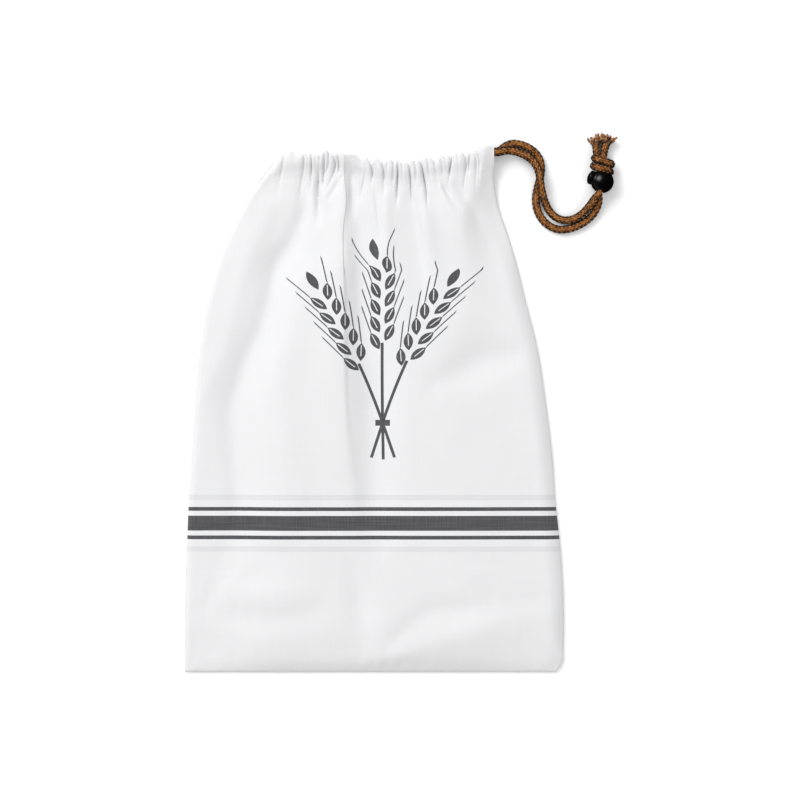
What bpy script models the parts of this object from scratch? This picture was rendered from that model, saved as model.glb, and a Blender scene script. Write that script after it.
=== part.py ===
"""A cotton bread bag, lying on its back on a flat surface, its mouth drawn up by a braided cord.

+X is the bag's right, +Y runs from the bottom seam to the mouth, +Z is up. The origin is under the middle of
the bag's outline, on the surface that it lies on. The tables below are in millimetres, with heights measured
from the bottom seam, and the meshes are in metres.
"""

import math
from collections import namedtuple

import bmesh
import bpy
import numpy as np
from mathutils import Matrix, Vector

MM = 0.001

# The bag's cloth
BAG_LENGTH = 388.0  # bottom seam to the highest corner of the mouth
EDGE_RADIUS = 1.6  # of the folded left edge and of the seams
CLOTH = 1.0  # one layer
CASING_CLOTH = 1.6  # the hem's two layers
CASING_DEPTH = 20.0  # mouth to the casing's stitch line
HEM_FADE = 6.0  # over which the hem's thickness fades out below the stitch line
TOP_STRETCH_FROM = 300.0  # above this height the rows bend to follow the drawn-up mouth
MOST_SLANT = 1.7  # how much thicker than the cloth a steep stretch may be, measured straight down
LEAST_INSIDE = 0.25  # half the gap that the layers keep inside, at the edges
SHOULDER_ROUNDNESS = 2.4
SETTLE_IN = 9.0  # the folds fade out this near the sides
SETTLE_UP = 12.0  # and this near the bottom seam
CREASE_SOFTENING = 0.25  # how much shallower a gather's crease is right at the mouth's edge
SOFTENING_DEPTH = 8.0

# The cord and its lock
CORD_RADIUS = 3.0
SQUEEZED_RADIUS = 2.4  # inside the lock
CORD_SIDES_LEVEL = 3  # bevel resolution of the cord
CORD_STEP = 6.0
HOLE_STOPS = (-0.92, -0.3, 0.3, 0.8)  # a strand's points in the ball, as shares of its radius from its middle
GAP = 0.3
BALL_RADIUS = 8.5
BALL_AT = (167.8, 361.7)
LOCK_ANGLE = math.radians(159)  # which way the button points, seen from above
HOLE_SHIFT = 0.8  # the cord's hole lies this far from the ball's middle, away from the button
HOLE_SIDES = 16
SOCKET_RADIUS = 5.5
SOCKET_FLOOR = 2.8  # from the ball's middle
BUTTON_RADIUS = 5.2
BUTTON_INNER = 5.5
BUTTON_RIM = 9.9
BUTTON_TIP = 11.5
BUTTON_BEVEL = 0.5
BUTTON_DOME = ((0.7, 0.7), (0.35, 0.94), (0.0, 1.0))  # shares of its radius and its rise

# The outline, the height of the front cloth and how far in from each edge it takes to rise to that height
Section = namedtuple("Section", "height left right crown left_shoulder right_shoulder")
SECTIONS = (
    Section(0, -140.4, 134.0, 3.2, 20, 12),
    Section(6, -140.4, 138.1, 7.4, 22, 12),
    Section(20, -140.4, 139.4, 10.8, 26, 14),
    Section(54, -140.0, 139.4, 11.9, 30, 16),
    Section(80, -139.2, 138.2, 11.7, 32, 16),
    Section(100, -138.4, 136.5, 11.5, 34, 18),
    Section(124, -137.4, 133.8, 11.3, 34, 18),
    Section(160, -135.2, 131.2, 11.2, 36, 20),
    Section(195, -133.0, 127.0, 11.2, 36, 20),
    Section(242, -128.6, 119.7, 11.2, 36, 20),
    Section(277, -122.7, 110.9, 11.2, 34, 20),
    Section(301, -116.0, 105.0, 11.2, 32, 18),
    Section(325, -107.2, 97.8, 11.4, 26, 16),
    Section(340, -101.0, 92.5, 11.8, 22, 13),
    Section(358, -92.5, 88.8, 12.4, 17, 9),
    Section(370, -85.0, 88.1, 13.2, 13, 6),
    Section(380, -79.0, 88.0, 13.2, 10, 4),
    Section(388, -74.0, 88.0, 12.6, 8, 4),
)

# The mouth's edge, from left to right
Mouth = namedtuple("Mouth", "share height")
MOUTH = (
    Mouth(0.0, 379.1),
    Mouth(0.03, 382.0),
    Mouth(0.08, 383.6),
    Mouth(0.19, 382.8),
    Mouth(0.27, 384.0),
    Mouth(0.33, 383.6),
    Mouth(0.36, 382.8),
    Mouth(0.41, 380.5),
    Mouth(0.49, 377.2),
    Mouth(0.57, 376.9),
    Mouth(0.66, 377.6),
    Mouth(0.74, 380.6),
    Mouth(0.82, 382.8),
    Mouth(0.90, 385.0),
    Mouth(0.96, 388.0),
    Mouth(1.0, 387.6),
)

# The gathers' creases along the mouth: where, how deep and wide, and how far down from the mouth they run
Gather = namedtuple("Gather", "share depth width reach")
GATHERS = (
    Gather(0.041, 1.5, 1.8, 45),
    Gather(0.095, 0.8, 2.0, 24),
    Gather(0.150, 2.3, 1.9, 60),
    Gather(0.214, 2.5, 2.0, 42),
    Gather(0.258, 1.0, 1.6, 26),
    Gather(0.300, 2.5, 1.9, 50),
    Gather(0.409, 2.1, 1.8, 46),
    Gather(0.455, 1.6, 1.5, 34),
    Gather(0.505, 2.0, 1.6, 60),
    Gather(0.550, 2.1, 1.5, 42),
    Gather(0.586, 1.8, 1.4, 32),
    Gather(0.623, 2.1, 1.5, 56),
    Gather(0.686, 2.3, 1.7, 60),
    Gather(0.727, 1.8, 1.5, 42),
    Gather(0.768, 1.6, 1.4, 52),
    Gather(0.800, 1.8, 1.4, 32),
    Gather(0.845, 2.0, 1.5, 38),
    Gather(0.895, 1.8, 1.5, 42),
    Gather(0.945, 1.4, 1.4, 30),
)
SCALLOP = 0.9  # how far the mouth's edge dips at a crease

# The folds of the front cloth. Each is a line of points: a rise above nought is a ridge, below it a trough,
# and left and right are how far it spreads on either side, seen along the line
Fold = namedtuple("Fold", "x height rise left right")
FOLDS = {
    "lapped pleat": (
        Fold(-23.9, 360, 2.4, 7, 2.2),
        Fold(-23.2, 337, 3.2, 12, 2.2),
        Fold(-23.2, 304, 3.2, 16, 2.4),
        Fold(-23.2, 252, 2.8, 18, 3.2),
        Fold(-23.2, 201, 2.4, 20, 5.0),
        Fold(-21.0, 166, 1.8, 20, 7.0),
        Fold(-16.6, 127, 1.2, 18, 9.0),
        Fold(-12.2, 83, 0.6, 16, 12.0),
        Fold(-9.2, 61, 0.0, 14, 14.0),
    ),
    "hollow right of the pleat": (
        Fold(-12.9, 348, -0.6, 7, 8),
        Fold(-9.2, 304, -1.6, 10, 14),
        Fold(-6.3, 252, -2.0, 12, 18),
        Fold(-0.4, 212, -2.6, 13, 14),
        Fold(-3.3, 164, -1.6, 14, 16),
        Fold(-1.8, 112, -0.8, 14, 16),
    ),
    "left valley": (
        Fold(-50.5, 356, -0.4, 5, 6),
        Fold(-54.9, 335, -1.8, 7, 9),
        Fold(-68.2, 317, -2.4, 8, 12),
        Fold(-79.2, 300, -2.8, 8, 14),
        Fold(-84.4, 280, -2.8, 9, 15),
        Fold(-88.8, 252, -2.6, 9, 15),
        Fold(-96.9, 238, -2.6, 8, 14),
        Fold(-106.5, 217, -2.6, 8, 14),
        Fold(-116.0, 198, -2.4, 8, 13),
        Fold(-113.8, 177, -2.2, 8, 14),
        Fold(-109.4, 142, -1.8, 9, 15),
        Fold(-107.2, 112, -1.4, 10, 15),
        Fold(-111.6, 83, -0.6, 11, 14),
    ),
    "left swell": (
        Fold(-75.5, 344, 0.6, 8, 8),
        Fold(-91.7, 311, 1.2, 11, 8),
        Fold(-103.0, 274, 1.2, 12, 8),
        Fold(-111.0, 241, 0.9, 10, 7),
        Fold(-125.0, 207, 0.6, 8, 6),
    ),
    "swell beside the valley": (
        Fold(-57.8, 322, 0.8, 9, 9),
        Fold(-69.6, 282, 1.2, 9, 14),
        Fold(-76.5, 241, 1.4, 10, 16),
        Fold(-78.0, 215, 1.2, 10, 16),
        Fold(-65.9, 171, 1.0, 14, 16),
        Fold(-54.9, 127, 0.9, 15, 15),
        Fold(-53.4, 83, 0.4, 15, 15),
    ),
    "right ridge": (
        Fold(51.2, 356, 0.4, 6, 12),
        Fold(55.6, 326, 1.6, 9, 15),
        Fold(63.0, 289, 2.0, 12, 16),
        Fold(68.9, 256, 1.0, 14, 15),
    ),
    "right hollow": (
        Fold(49.0, 221, -0.6, 8, 8),
        Fold(66.7, 239, -1.8, 9, 9),
        Fold(79.2, 248, -2.0, 9, 9),
        Fold(96.2, 242, -1.2, 7, 8),
        Fold(105.7, 241, -0.4, 6, 7),
    ),
    "middle trough": (
        Fold(20.3, 350, -1.4, 5, 6),
        Fold(21.7, 311, -1.9, 7, 8),
        Fold(24.7, 267, -0.8, 8, 9),
    ),
    "crest left of the middle trough": (
        Fold(8.5, 350, 0.8, 4, 4),
        Fold(9.6, 308, 0.6, 5, 5),
    ),
    "crest right of the middle trough": (
        Fold(36.5, 352, 0.9, 4, 4),
        Fold(37.5, 308, 0.7, 6, 6),
    ),
    "low wrinkle": (
        Fold(12.9, 22, -0.4, 6, 5),
        Fold(29.8, 37, -1.0, 7, 6),
        Fold(48.3, 45, -1.3, 7, 6),
        Fold(92.5, 50, -1.2, 7, 6),
        Fold(130.0, 53, -0.5, 6, 6),
    ),
    "ridge below the wrinkle": (
        Fold(-1.8, 8, 0.4, 6, 6),
        Fold(26.2, 16, 1.2, 7, 8),
        Fold(55.6, 25, 1.8, 7, 13),
        Fold(92.5, 38, 1.8, 7, 17),
        Fold(122.0, 46, 0.8, 6, 15),
    ),
    "dent under the pleat": (
        Fold(-18.0, 64, -1.2, 8, 8),
        Fold(-18.0, 34, -1.2, 8, 8),
    ),
}
FOLD_POINTS = 25  # points that each fold's smooth line is read at

# The rows of the mesh up to the gathers' ends, and those through the gathers, which are finer across
LOWER_ROWS = (
    0.0, 0.47, 1.6, 7, 15, 26, 38, 51, 68, 88, 110, 133, 156, 178, 198, 216, 233, 250, 268, 285, 301, 316,
)
UPPER_ROWS = (330, 343, 353, 361, 368, 373.5, 380, 388)
EDGE_STEPS = (0.0, 0.47, 1.6)  # columns round each side edge, in from it
WIDEST_COLUMN = 0.0145  # share of the width between two columns through the gathers

# The cord's two strands from the casing to the ball, as they lie: strand_over crosses over strand_under
Route = namedtuple("Route", "x height z")
OVER_ROUTE = (
    Route(88.1, 383.1, 9.3),
    Route(92.2, 383.3, 9.3),
    Route(96.3, 384.4, 9.0),
    Route(101.6, 384.3, 7.4),
    Route(107.6, 382.8, 6.4),
    Route(112.6, 380.4, 6.6),
    Route(116.8, 376.8, 7.6),
    Route(119.6, 372.5, 8.8),
    Route(121.2, 367.8, 9.4),
    Route(122.0, 362.6, 9.5),
    Route(122.7, 357.6, 9.3),
    Route(124.1, 351.8, 7.9),
    Route(126.1, 345.8, 5.4),
    Route(128.9, 340.6, 3.6),
    Route(132.8, 336.4, 3.2),
    Route(137.4, 334.0, 3.5),
    Route(142.4, 333.5, 4.2),
    Route(147.3, 334.6, 4.9),
    Route(151.8, 337.1, 5.7),
    Route(155.8, 340.7, 6.8),
    Route(159.2, 345.0, 8.4),
    Route(162.3, 349.4, 10.2),
    Route(164.9, 352.2, 11.2),
)
UNDER_ROUTE = (
    Route(89.4, 384.3, 3.1),
    Route(92.8, 385.2, 3.1),
    Route(96.6, 388.2, 3.1),
    Route(101.0, 389.9, 3.1),
    Route(105.8, 389.8, 3.1),
    Route(110.6, 388.5, 3.1),
    Route(115.2, 386.1, 3.1),
    Route(119.2, 382.7, 3.1),
    Route(121.9, 378.2, 3.1),
    Route(123.0, 373.0, 3.1),
    Route(122.7, 367.6, 3.1),
    Route(121.5, 362.2, 3.1),
    Route(120.1, 356.8, 3.1),
    Route(119.2, 351.4, 3.1),
    Route(119.2, 345.8, 3.1),
    Route(120.4, 340.4, 3.1),
    Route(122.9, 335.4, 3.1),
    Route(126.6, 331.2, 3.1),
    Route(131.2, 328.2, 3.1),
    Route(136.6, 326.6, 3.1),
    Route(142.2, 326.9, 3.1),
    Route(147.6, 328.4, 3.1),
    Route(152.8, 330.8, 3.1),
    Route(157.6, 334.2, 3.1),
    Route(161.7, 338.5, 3.3),
    Route(164.4, 343.6, 3.9),
    Route(165.6, 348.6, 4.8),
    Route(165.9, 352.4, 5.4),
)

# The knot on the ball: two turns of cord round a core, a strand down its right side, and two short tails
KNOT_AT = (168.0, 373.6)
KNOT_SLOPE = math.radians(-19)
KNOT_CORE = (6.2, 6.6, 5.0)
TURN_RADIUS = 2.7
TURN_HALF_LENGTH = 6.2
TURN_HALF_HEIGHT = 3.9
TURN_OFFSETS = (3.1, -2.1)
TURN_STEPS = 18
TURN_SQUARENESS = 0.8  # 1 is an ellipse
KNOT_SIDES = 8
KNOT_MIDDLE = 6.7
Tail = namedtuple("Tail", "x height z radius")
SIDE_STRAND = (
    Tail(173.4, 375.6, 8.4, 2.4),
    Tail(174.4, 371.0, 8.0, 2.5),
    Tail(173.2, 366.4, 7.6, 2.3),
)
LEFT_TAIL = (
    Tail(165.6, 375.4, 6.4, 2.4),
    Tail(163.9, 380.4, 5.2, 2.5),
    Tail(163.3, 385.4, 4.0, 2.5),
    Tail(163.2, 389.6, 3.6, 2.7),
)
RIGHT_TAIL = (
    Tail(167.8, 375.4, 6.2, 2.6),
    Tail(168.4, 380.4, 5.2, 2.9),
    Tail(169.3, 385.6, 4.2, 3.0),
    Tail(170.6, 390.2, 3.9, 3.3),
)
# The frayed locks, as they fan out from the end of each tail: angle from straight on, rise and length
Lock = namedtuple("Lock", "turn rise length")
LEFT_LOCKS = (
    Lock(52, -8, 6.6),
    Lock(38, 20, 9.4),
    Lock(24, -6, 10.2),
    Lock(12, 26, 11.6),
    Lock(2, 2, 8.8),
    Lock(-10, 22, 10.2),
    Lock(-22, -8, 8.6),
    Lock(-36, 10, 8.0),
)
RIGHT_LOCKS = (
    Lock(34, 18, 8.2),
    Lock(20, -8, 9.4),
    Lock(8, 24, 10.6),
    Lock(-6, 0, 9.8),
    Lock(-18, 26, 10.8),
    Lock(-32, -6, 10.4),
    Lock(-46, 16, 11.4),
    Lock(-60, -4, 9.8),
    Lock(-74, 12, 7.2),
)
LOCK_ROOT = 1.0  # radius of a lock at its root
LOCK_TIP = 0.55  # and at its tip
LOCK_SIDES = 4
LOCK_STEPS = 3
LOCK_SUNK = 1.4  # how far inside the tail's end it is rooted
LOCK_BEND = 0.35  # how much further it turns on its way out, as a share of its turn
TAIL_STEP = 2.6


def clear_scene():
    for obj in list(bpy.data.objects):
        bpy.data.objects.remove(obj)


def make_material(name, colour, roughness):
    material = bpy.data.materials.new(name)
    material.use_nodes = True
    shader = material.node_tree.nodes["Principled BSDF"]
    shader.inputs["Base Color"].default_value = (*colour, 1.0)
    shader.inputs["Roughness"].default_value = roughness
    shader.inputs["Metallic"].default_value = 0.0
    return material


def smooth_between(at, knots, values):
    """Values between the knots on a cubic whose slope at a knot is that of its two neighbours."""
    at = np.clip(np.asarray(at, float), knots[0], knots[-1])
    knots = np.asarray(knots, float)
    values = np.asarray(values, float)
    slopes = np.gradient(values, knots)
    index = np.clip(np.searchsorted(knots, at, side="right") - 1, 0, len(knots) - 2)
    step = knots[index + 1] - knots[index]
    t = (at - knots[index]) / step
    start = (1 + 2 * t) * (1 - t) ** 2 * values[index] + t * (1 - t) ** 2 * step * slopes[index]
    end = t**2 * (3 - 2 * t) * values[index + 1] + t**2 * (t - 1) * step * slopes[index + 1]
    return start + end


def section_value(height, column):
    return smooth_between(height, [s.height for s in SECTIONS], [getattr(s, column) for s in SECTIONS])


def smooth_step(t):
    t = np.clip(t, 0.0, 1.0)
    return t * t * (3 - 2 * t)


def share_across(x, row):
    left = section_value(row, "left")
    right = section_value(row, "right")
    return (x - left) / (right - left)


def height_of(x, row):
    """The real height of a mesh row at x: the upper rows bend so that the last one is the mouth's edge."""
    share = np.clip(share_across(x, row), 0.0, 1.0)
    mouth = smooth_between(share, [m.share for m in MOUTH], [m.height for m in MOUTH])
    for gather in GATHERS:
        off = (share - gather.share) * mouth_width() / gather.width
        mouth = mouth - SCALLOP * np.exp(-(off**2))
    bend = smooth_step((row - TOP_STRETCH_FROM) / (BAG_LENGTH - TOP_STRETCH_FROM))
    return row + (mouth - BAG_LENGTH) * bend


def mouth_width():
    return SECTIONS[-1].right - SECTIONS[-1].left


def gather_relief(x, row):
    """How far the gathers' creases sink the cloth."""
    share = share_across(x, row)
    width = section_value(row, "right") - section_value(row, "left")
    below_mouth = BAG_LENGTH - row
    relief = np.zeros_like(share)
    for gather in GATHERS:
        spread = gather.width * (1 + np.maximum(below_mouth - CASING_DEPTH, 0) / gather.reach)
        strength = 1 - smooth_step((below_mouth - CASING_DEPTH) / max(gather.reach - CASING_DEPTH, 1.0))
        strength = strength * (1 - CREASE_SOFTENING * (1 - smooth_step(below_mouth / SOFTENING_DEPTH)))
        off = (share - gather.share) * width / spread
        relief = relief - gather.depth * strength * np.exp(-(off**2))
    return relief


def fold_relief(x, height, fold):
    """How far one fold lifts or sinks the cloth."""
    along = np.linspace(0, len(fold) - 1, FOLD_POINTS)
    index = np.arange(len(fold))
    line = {name: smooth_between(along, index, [getattr(p, name) for p in fold]) for name in Fold._fields}
    nearest = np.full(x.shape, np.inf)
    relief = np.zeros(x.shape)
    for i in range(FOLD_POINTS - 1):
        run = np.array([line["x"][i + 1] - line["x"][i], line["height"][i + 1] - line["height"][i]])
        length = np.hypot(*run)
        offset_x = x - line["x"][i]
        offset_y = height - line["height"][i]
        t = np.clip((offset_x * run[0] + offset_y * run[1]) / length**2, 0, 1)
        away = np.hypot(offset_x - t * run[0], offset_y - t * run[1])
        # A fold is drawn from the mouth down or from left to right
        side = run[0] * offset_y - run[1] * offset_x
        rise = line["rise"][i] + t * (line["rise"][i + 1] - line["rise"][i])
        left = line["left"][i] + t * (line["left"][i + 1] - line["left"][i])
        right = line["right"][i] + t * (line["right"][i + 1] - line["right"][i])
        spread = np.where(side * fold_sense(fold) > 0, left, right)
        closer = away < nearest
        relief = np.where(closer, rise * np.exp(-((away / spread) ** 2)), relief)
        nearest = np.where(closer, away, nearest)
    return relief


def fold_sense(fold):
    """A fold drawn downwards has its left on the bag's left; one drawn rightwards has its left above it."""
    drop = abs(fold[-1].height - fold[0].height)
    return -1 if drop > abs(fold[-1].x - fold[0].x) else 1


def edge_rise(x, row):
    """Half the thickness of the lying bag's rounded edge, which reaches its full size a little way in."""
    left = section_value(row, "left")
    right = section_value(row, "right")
    inward = np.minimum(np.minimum(x - left, right - x), row)
    inward = np.clip(inward, 0.0, EDGE_RADIUS)
    return np.sqrt(np.maximum(EDGE_RADIUS**2 - (EDGE_RADIUS - inward) ** 2, 0.0))


def front_height(x, row):
    """The outer face of the front cloth, above the surface that the bag lies on."""
    left = section_value(row, "left")
    right = section_value(row, "right")
    crown = section_value(row, "crown")
    from_left = np.clip((x - left) / section_value(row, "left_shoulder"), 0, 1)
    from_right = np.clip((right - x) / section_value(row, "right_shoulder"), 0, 1)
    shoulder = (1 - (1 - from_left) ** SHOULDER_ROUNDNESS) * (1 - (1 - from_right) ** SHOULDER_ROUNDNESS)
    height = height_of(x, row)
    relief = gather_relief(x, row)
    for fold in FOLDS.values():
        relief = relief + fold_relief(x, height, fold)
    settle = smooth_step(np.minimum(np.minimum(x - left, right - x) / SETTLE_IN, row / SETTLE_UP))
    return EDGE_RADIUS + edge_rise(x, row) + (crown - 2 * EDGE_RADIUS) * shoulder + relief * settle


def back_height(x, row):
    """The outer face of the back cloth, flat on the surface but for its rounded edges."""
    return EDGE_RADIUS - edge_rise(x, row)


def cloth_thickness(row):
    casing = smooth_step((row - (BAG_LENGTH - CASING_DEPTH - HEM_FADE)) / HEM_FADE)
    return CLOTH + (CASING_CLOTH - CLOTH) * casing


def slant(height_function, x, row):
    """How much thicker the cloth is measured straight down than square to its face."""
    step = CLOTH / 2
    across = (height_function(x + step, row) - height_function(x - step, row)) / (2 * step)
    upward = (height_function(x, row + step) - height_function(x, row - step)) / (2 * step)
    return np.minimum(np.sqrt(1 + across**2 + upward**2), MOST_SLANT)


def column_shares():
    """Columns across the mouth: one in each crease and an even number of steps from each crease to the next.
    Every second one is kept below the gathers."""
    stops = [0.0, *(g.share for g in GATHERS), 1.0]
    fine = []
    for start, end in zip(stops, stops[1:]):
        steps = max(2, 2 * round((end - start) / (2 * WIDEST_COLUMN)))
        fine += [start + (end - start) * k / steps for k in range(steps)]
    return fine[1:]


def column_places():
    """(share, distance in from an edge) of each column, left to right, and which are kept in the lower rows."""
    shares = column_shares()
    columns = [(0.0, step) for step in EDGE_STEPS]
    kept = list(range(len(columns)))
    for k, share in enumerate(shares):
        if k % 2 == 1:
            kept.append(len(columns))
        columns.append((share, 0.0))
    for step in reversed(EDGE_STEPS):
        kept.append(len(columns))
        columns.append((1.0, -step))
    return columns, kept


def cloth_points(front, inner, columns, row):
    """The points of one row of one face of the cloth, in millimetres."""
    left = section_value(row, "left")
    right = section_value(row, "right")
    thick = cloth_thickness(row)
    outer_x = np.array([left + share * (right - left) + step for share, step in columns])
    height_function = front_height if front else back_height
    if not inner:
        rows = np.full(outer_x.shape, float(row))
        return outer_x, height_of(outer_x, rows), height_function(outer_x, rows)
    x = left + thick + (outer_x - left) * (right - left - 2 * thick) / (right - left)
    rows = np.full(x.shape, thick + row * (BAG_LENGTH - thick) / BAG_LENGTH)
    drop = thick * slant(height_function, x, rows)
    z = height_function(x, rows) + (-drop if front else drop)
    if front:
        z = np.maximum(z, EDGE_RADIUS + LEAST_INSIDE)
    else:
        z = np.minimum(z, EDGE_RADIUS)
    return x, height_of(x, rows), z


def add_strip(mesh, low, high):
    """Faces between two rows of points, where one row may leave out points of the other."""
    many, few = (high, low) if len(high) >= len(low) else (low, high)
    step_of = {column: k for k, (column, _) in enumerate(many)}
    for (c0, a), (c1, b) in zip(few, few[1:]):
        run = [v for _, v in many[step_of[c0] : step_of[c1] + 1]]
        middle = len(run) // 2
        if len(run) == 2:
            add_face(mesh, [a, b, run[1], run[0]])
            continue
        for k in range(len(run) - 1):
            add_face(mesh, [a if k < middle else b, run[k + 1], run[k]])
        add_face(mesh, [a, b, run[middle]])


def add_face(mesh, points):
    distinct = []
    for p in points:
        if p not in distinct:
            distinct.append(p)
    if len(distinct) > 2:
        mesh.faces.new(distinct)


def add_cloth_face(mesh, columns, kept, inner):
    """Front and back of the outer or inner face, joined round the sides and the bottom, and the two top rows."""
    rows = LOWER_ROWS + UPPER_ROWS
    shared = {}
    tops = []
    for front in (True, False):
        previous = None
        for r, row in enumerate(rows):
            coarse = row in LOWER_ROWS or not front
            used = kept if coarse else range(len(columns))
            x, y, z = cloth_points(front, inner, columns, row)
            line = []
            for c in used:
                on_rim = c in (0, len(columns) - 1) or r == 0
                if on_rim and (r, c) in shared:
                    line.append((c, shared[r, c]))
                    continue
                lift = EDGE_RADIUS if on_rim else z[c]
                vertex = mesh.verts.new(Vector((x[c], y[c] - BAG_LENGTH / 2, lift)) * MM)
                if on_rim:
                    shared[r, c] = vertex
                line.append((c, vertex))
            if previous:
                add_strip(mesh, previous, line)
            previous = line
        tops.append(previous)
    return tops


def make_bag(material):
    """One closed solid: the cloth's outer and inner faces, joined at the mouth's edge."""
    columns, kept = column_places()
    mesh = bmesh.new()
    outer_front, outer_back = add_cloth_face(mesh, columns, kept, inner=False)
    inner_front, inner_back = add_cloth_face(mesh, columns, kept, inner=True)
    add_strip(mesh, outer_front, inner_front)
    add_strip(mesh, outer_back, inner_back)
    bmesh.ops.recalc_face_normals(mesh, faces=mesh.faces)
    return finish_mesh("bag", mesh, material)


def finish_mesh(name, mesh, material, sharp=math.radians(50)):
    data = bpy.data.meshes.new(name)
    mesh.to_mesh(data)
    mesh.free()
    data.shade_smooth()
    data.set_sharp_from_angle(angle=sharp)
    data.materials.append(material)
    obj = bpy.data.objects.new(name, data)
    bpy.context.scene.collection.objects.link(obj)
    return obj


def smooth_route(points, step):
    """Points a step apart on a smooth curve through the given ones, any further values read the same way."""
    table = np.array([tuple(p) for p in points], float)
    lengths = np.linalg.norm(np.diff(table[:, :3], axis=0), axis=1)
    along = np.concatenate([[0.0], np.cumsum(lengths)])
    count = max(2, round(along[-1] / step)) + 1
    at = np.linspace(0, along[-1], count)
    return np.stack([smooth_between(at, along, table[:, k]) for k in range(table.shape[1])], axis=1)


def place(point):
    """A point of the tables in the part's frame, in metres."""
    return Vector((point[0], point[1] - BAG_LENGTH / 2, point[2])) * MM


def lock_frame():
    """The lock's own axes: button, across and up, and the middle of the ball."""
    button = Vector((math.cos(LOCK_ANGLE), math.sin(LOCK_ANGLE), 0.0))
    hole = Vector((math.sin(LOCK_ANGLE), -math.cos(LOCK_ANGLE), 0.0))
    return button, hole, Vector((*BALL_AT, BALL_RADIUS))


def route_through_lock(route, lift):
    """The strand's route carried on through the ball, with the radius that it has at each point."""
    button, hole, middle = lock_frame()
    centre = middle - button * HOLE_SHIFT + Vector((0, 0, lift))
    points = [(*p, CORD_RADIUS) for p in smooth_route(route, CORD_STEP)[:-1]]
    # The last stretch before the ball narrows towards what the lock squeezes it to
    points[-1] = (*points[-1][:3], 0.5 * (CORD_RADIUS + SQUEEZED_RADIUS))
    for along in HOLE_STOPS:
        point = centre + hole * BALL_RADIUS * along
        points.append((*point, SQUEEZED_RADIUS))
    return points


def make_strand(name, route, lift, material):
    curve = bpy.data.curves.new(name, "CURVE")
    curve.dimensions = "3D"
    curve.bevel_depth = MM
    curve.bevel_resolution = CORD_SIDES_LEVEL
    curve.use_fill_caps = True
    points = route_through_lock(route, lift)
    spline = curve.splines.new("POLY")
    spline.points.add(len(points) - 1)
    for target, (x, height, z, radius) in zip(spline.points, points):
        target.co = (*place((x, height, z)), 1.0)
        target.radius = radius
    curve.materials.append(material)
    obj = bpy.data.objects.new(name, curve)
    bpy.context.scene.collection.objects.link(obj)
    return obj


def add_tube(mesh, points, radii, sides, closed=False):
    """A tube round the points, closed on itself or capped at both ends."""
    rings = []
    count = len(points)
    for k, point in enumerate(points):
        before = points[k - 1] if k or closed else point
        after = points[(k + 1) % count] if k < count - 1 or closed else point
        along = (after - before).normalized()
        across = along.cross(Vector((0, 0, 1)))
        if across.length < 0.2:
            across = along.cross(Vector((0.36, 0.93, 0)))
        across.normalize()
        up = across.cross(along)
        ring = []
        for s in range(sides):
            turn = 2 * math.pi * (s + 0.5) / sides
            ring.append(mesh.verts.new(point + radii[k] * (math.cos(turn) * across + math.sin(turn) * up)))
        rings.append(ring)
    pairs = zip(rings, rings[1:] + rings[:1]) if closed else zip(rings, rings[1:])
    for low, high in pairs:
        for s in range(sides):
            mesh.faces.new((low[s], low[(s + 1) % sides], high[(s + 1) % sides], high[s]))
    if not closed:
        mesh.faces.new(list(reversed(rings[0])))
        mesh.faces.new(rings[-1])


def add_turn(mesh, offset):
    """One turn of cord round the knot's core, in a slanting plane."""
    along = Vector((math.cos(KNOT_SLOPE), math.sin(KNOT_SLOPE), 0))
    beside = Vector((-math.sin(KNOT_SLOPE), math.cos(KNOT_SLOPE), 0))
    middle = Vector((*KNOT_AT, KNOT_MIDDLE)) + beside * offset
    points = []
    for k in range(TURN_STEPS):
        turn = 2 * math.pi * k / TURN_STEPS
        reach = math.copysign(abs(math.cos(turn)) ** TURN_SQUARENESS, math.cos(turn))
        rise = Vector((0, 0, TURN_HALF_HEIGHT * math.sin(turn)))
        points.append(middle + along * TURN_HALF_LENGTH * reach + rise)
    ring = bmesh.new()
    add_oriented_ring(ring, points, beside)
    merge_into(mesh, ring)


def add_oriented_ring(mesh, points, beside):
    """A closed tube in a plane, whose rings are set out by the plane's own normal."""
    count = len(points)
    rings = []
    for k, point in enumerate(points):
        along = (points[(k + 1) % count] - points[k - 1]).normalized()
        outward = along.cross(beside).normalized()
        ring = []
        for s in range(KNOT_SIDES):
            turn = 2 * math.pi * (s + 0.5) / KNOT_SIDES
            away = math.cos(turn) * outward + math.sin(turn) * beside
            ring.append(mesh.verts.new(point + TURN_RADIUS * away))
        rings.append(ring)
    for low, high in zip(rings, rings[1:] + rings[:1]):
        for s in range(KNOT_SIDES):
            mesh.faces.new((low[s], high[s], high[(s + 1) % KNOT_SIDES], low[(s + 1) % KNOT_SIDES]))


def merge_into(mesh, other):
    bmesh.ops.recalc_face_normals(other, faces=other.faces)
    data = bpy.data.meshes.new("joined")
    other.to_mesh(data)
    other.free()
    mesh.from_mesh(data)
    bpy.data.meshes.remove(data)


def add_tail(mesh, tail):
    points = smooth_route(tail, TAIL_STEP)
    tube = bmesh.new()
    add_tube(tube, [Vector(p[:3]) for p in points], [float(p[3]) for p in points], KNOT_SIDES)
    merge_into(mesh, tube)


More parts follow.
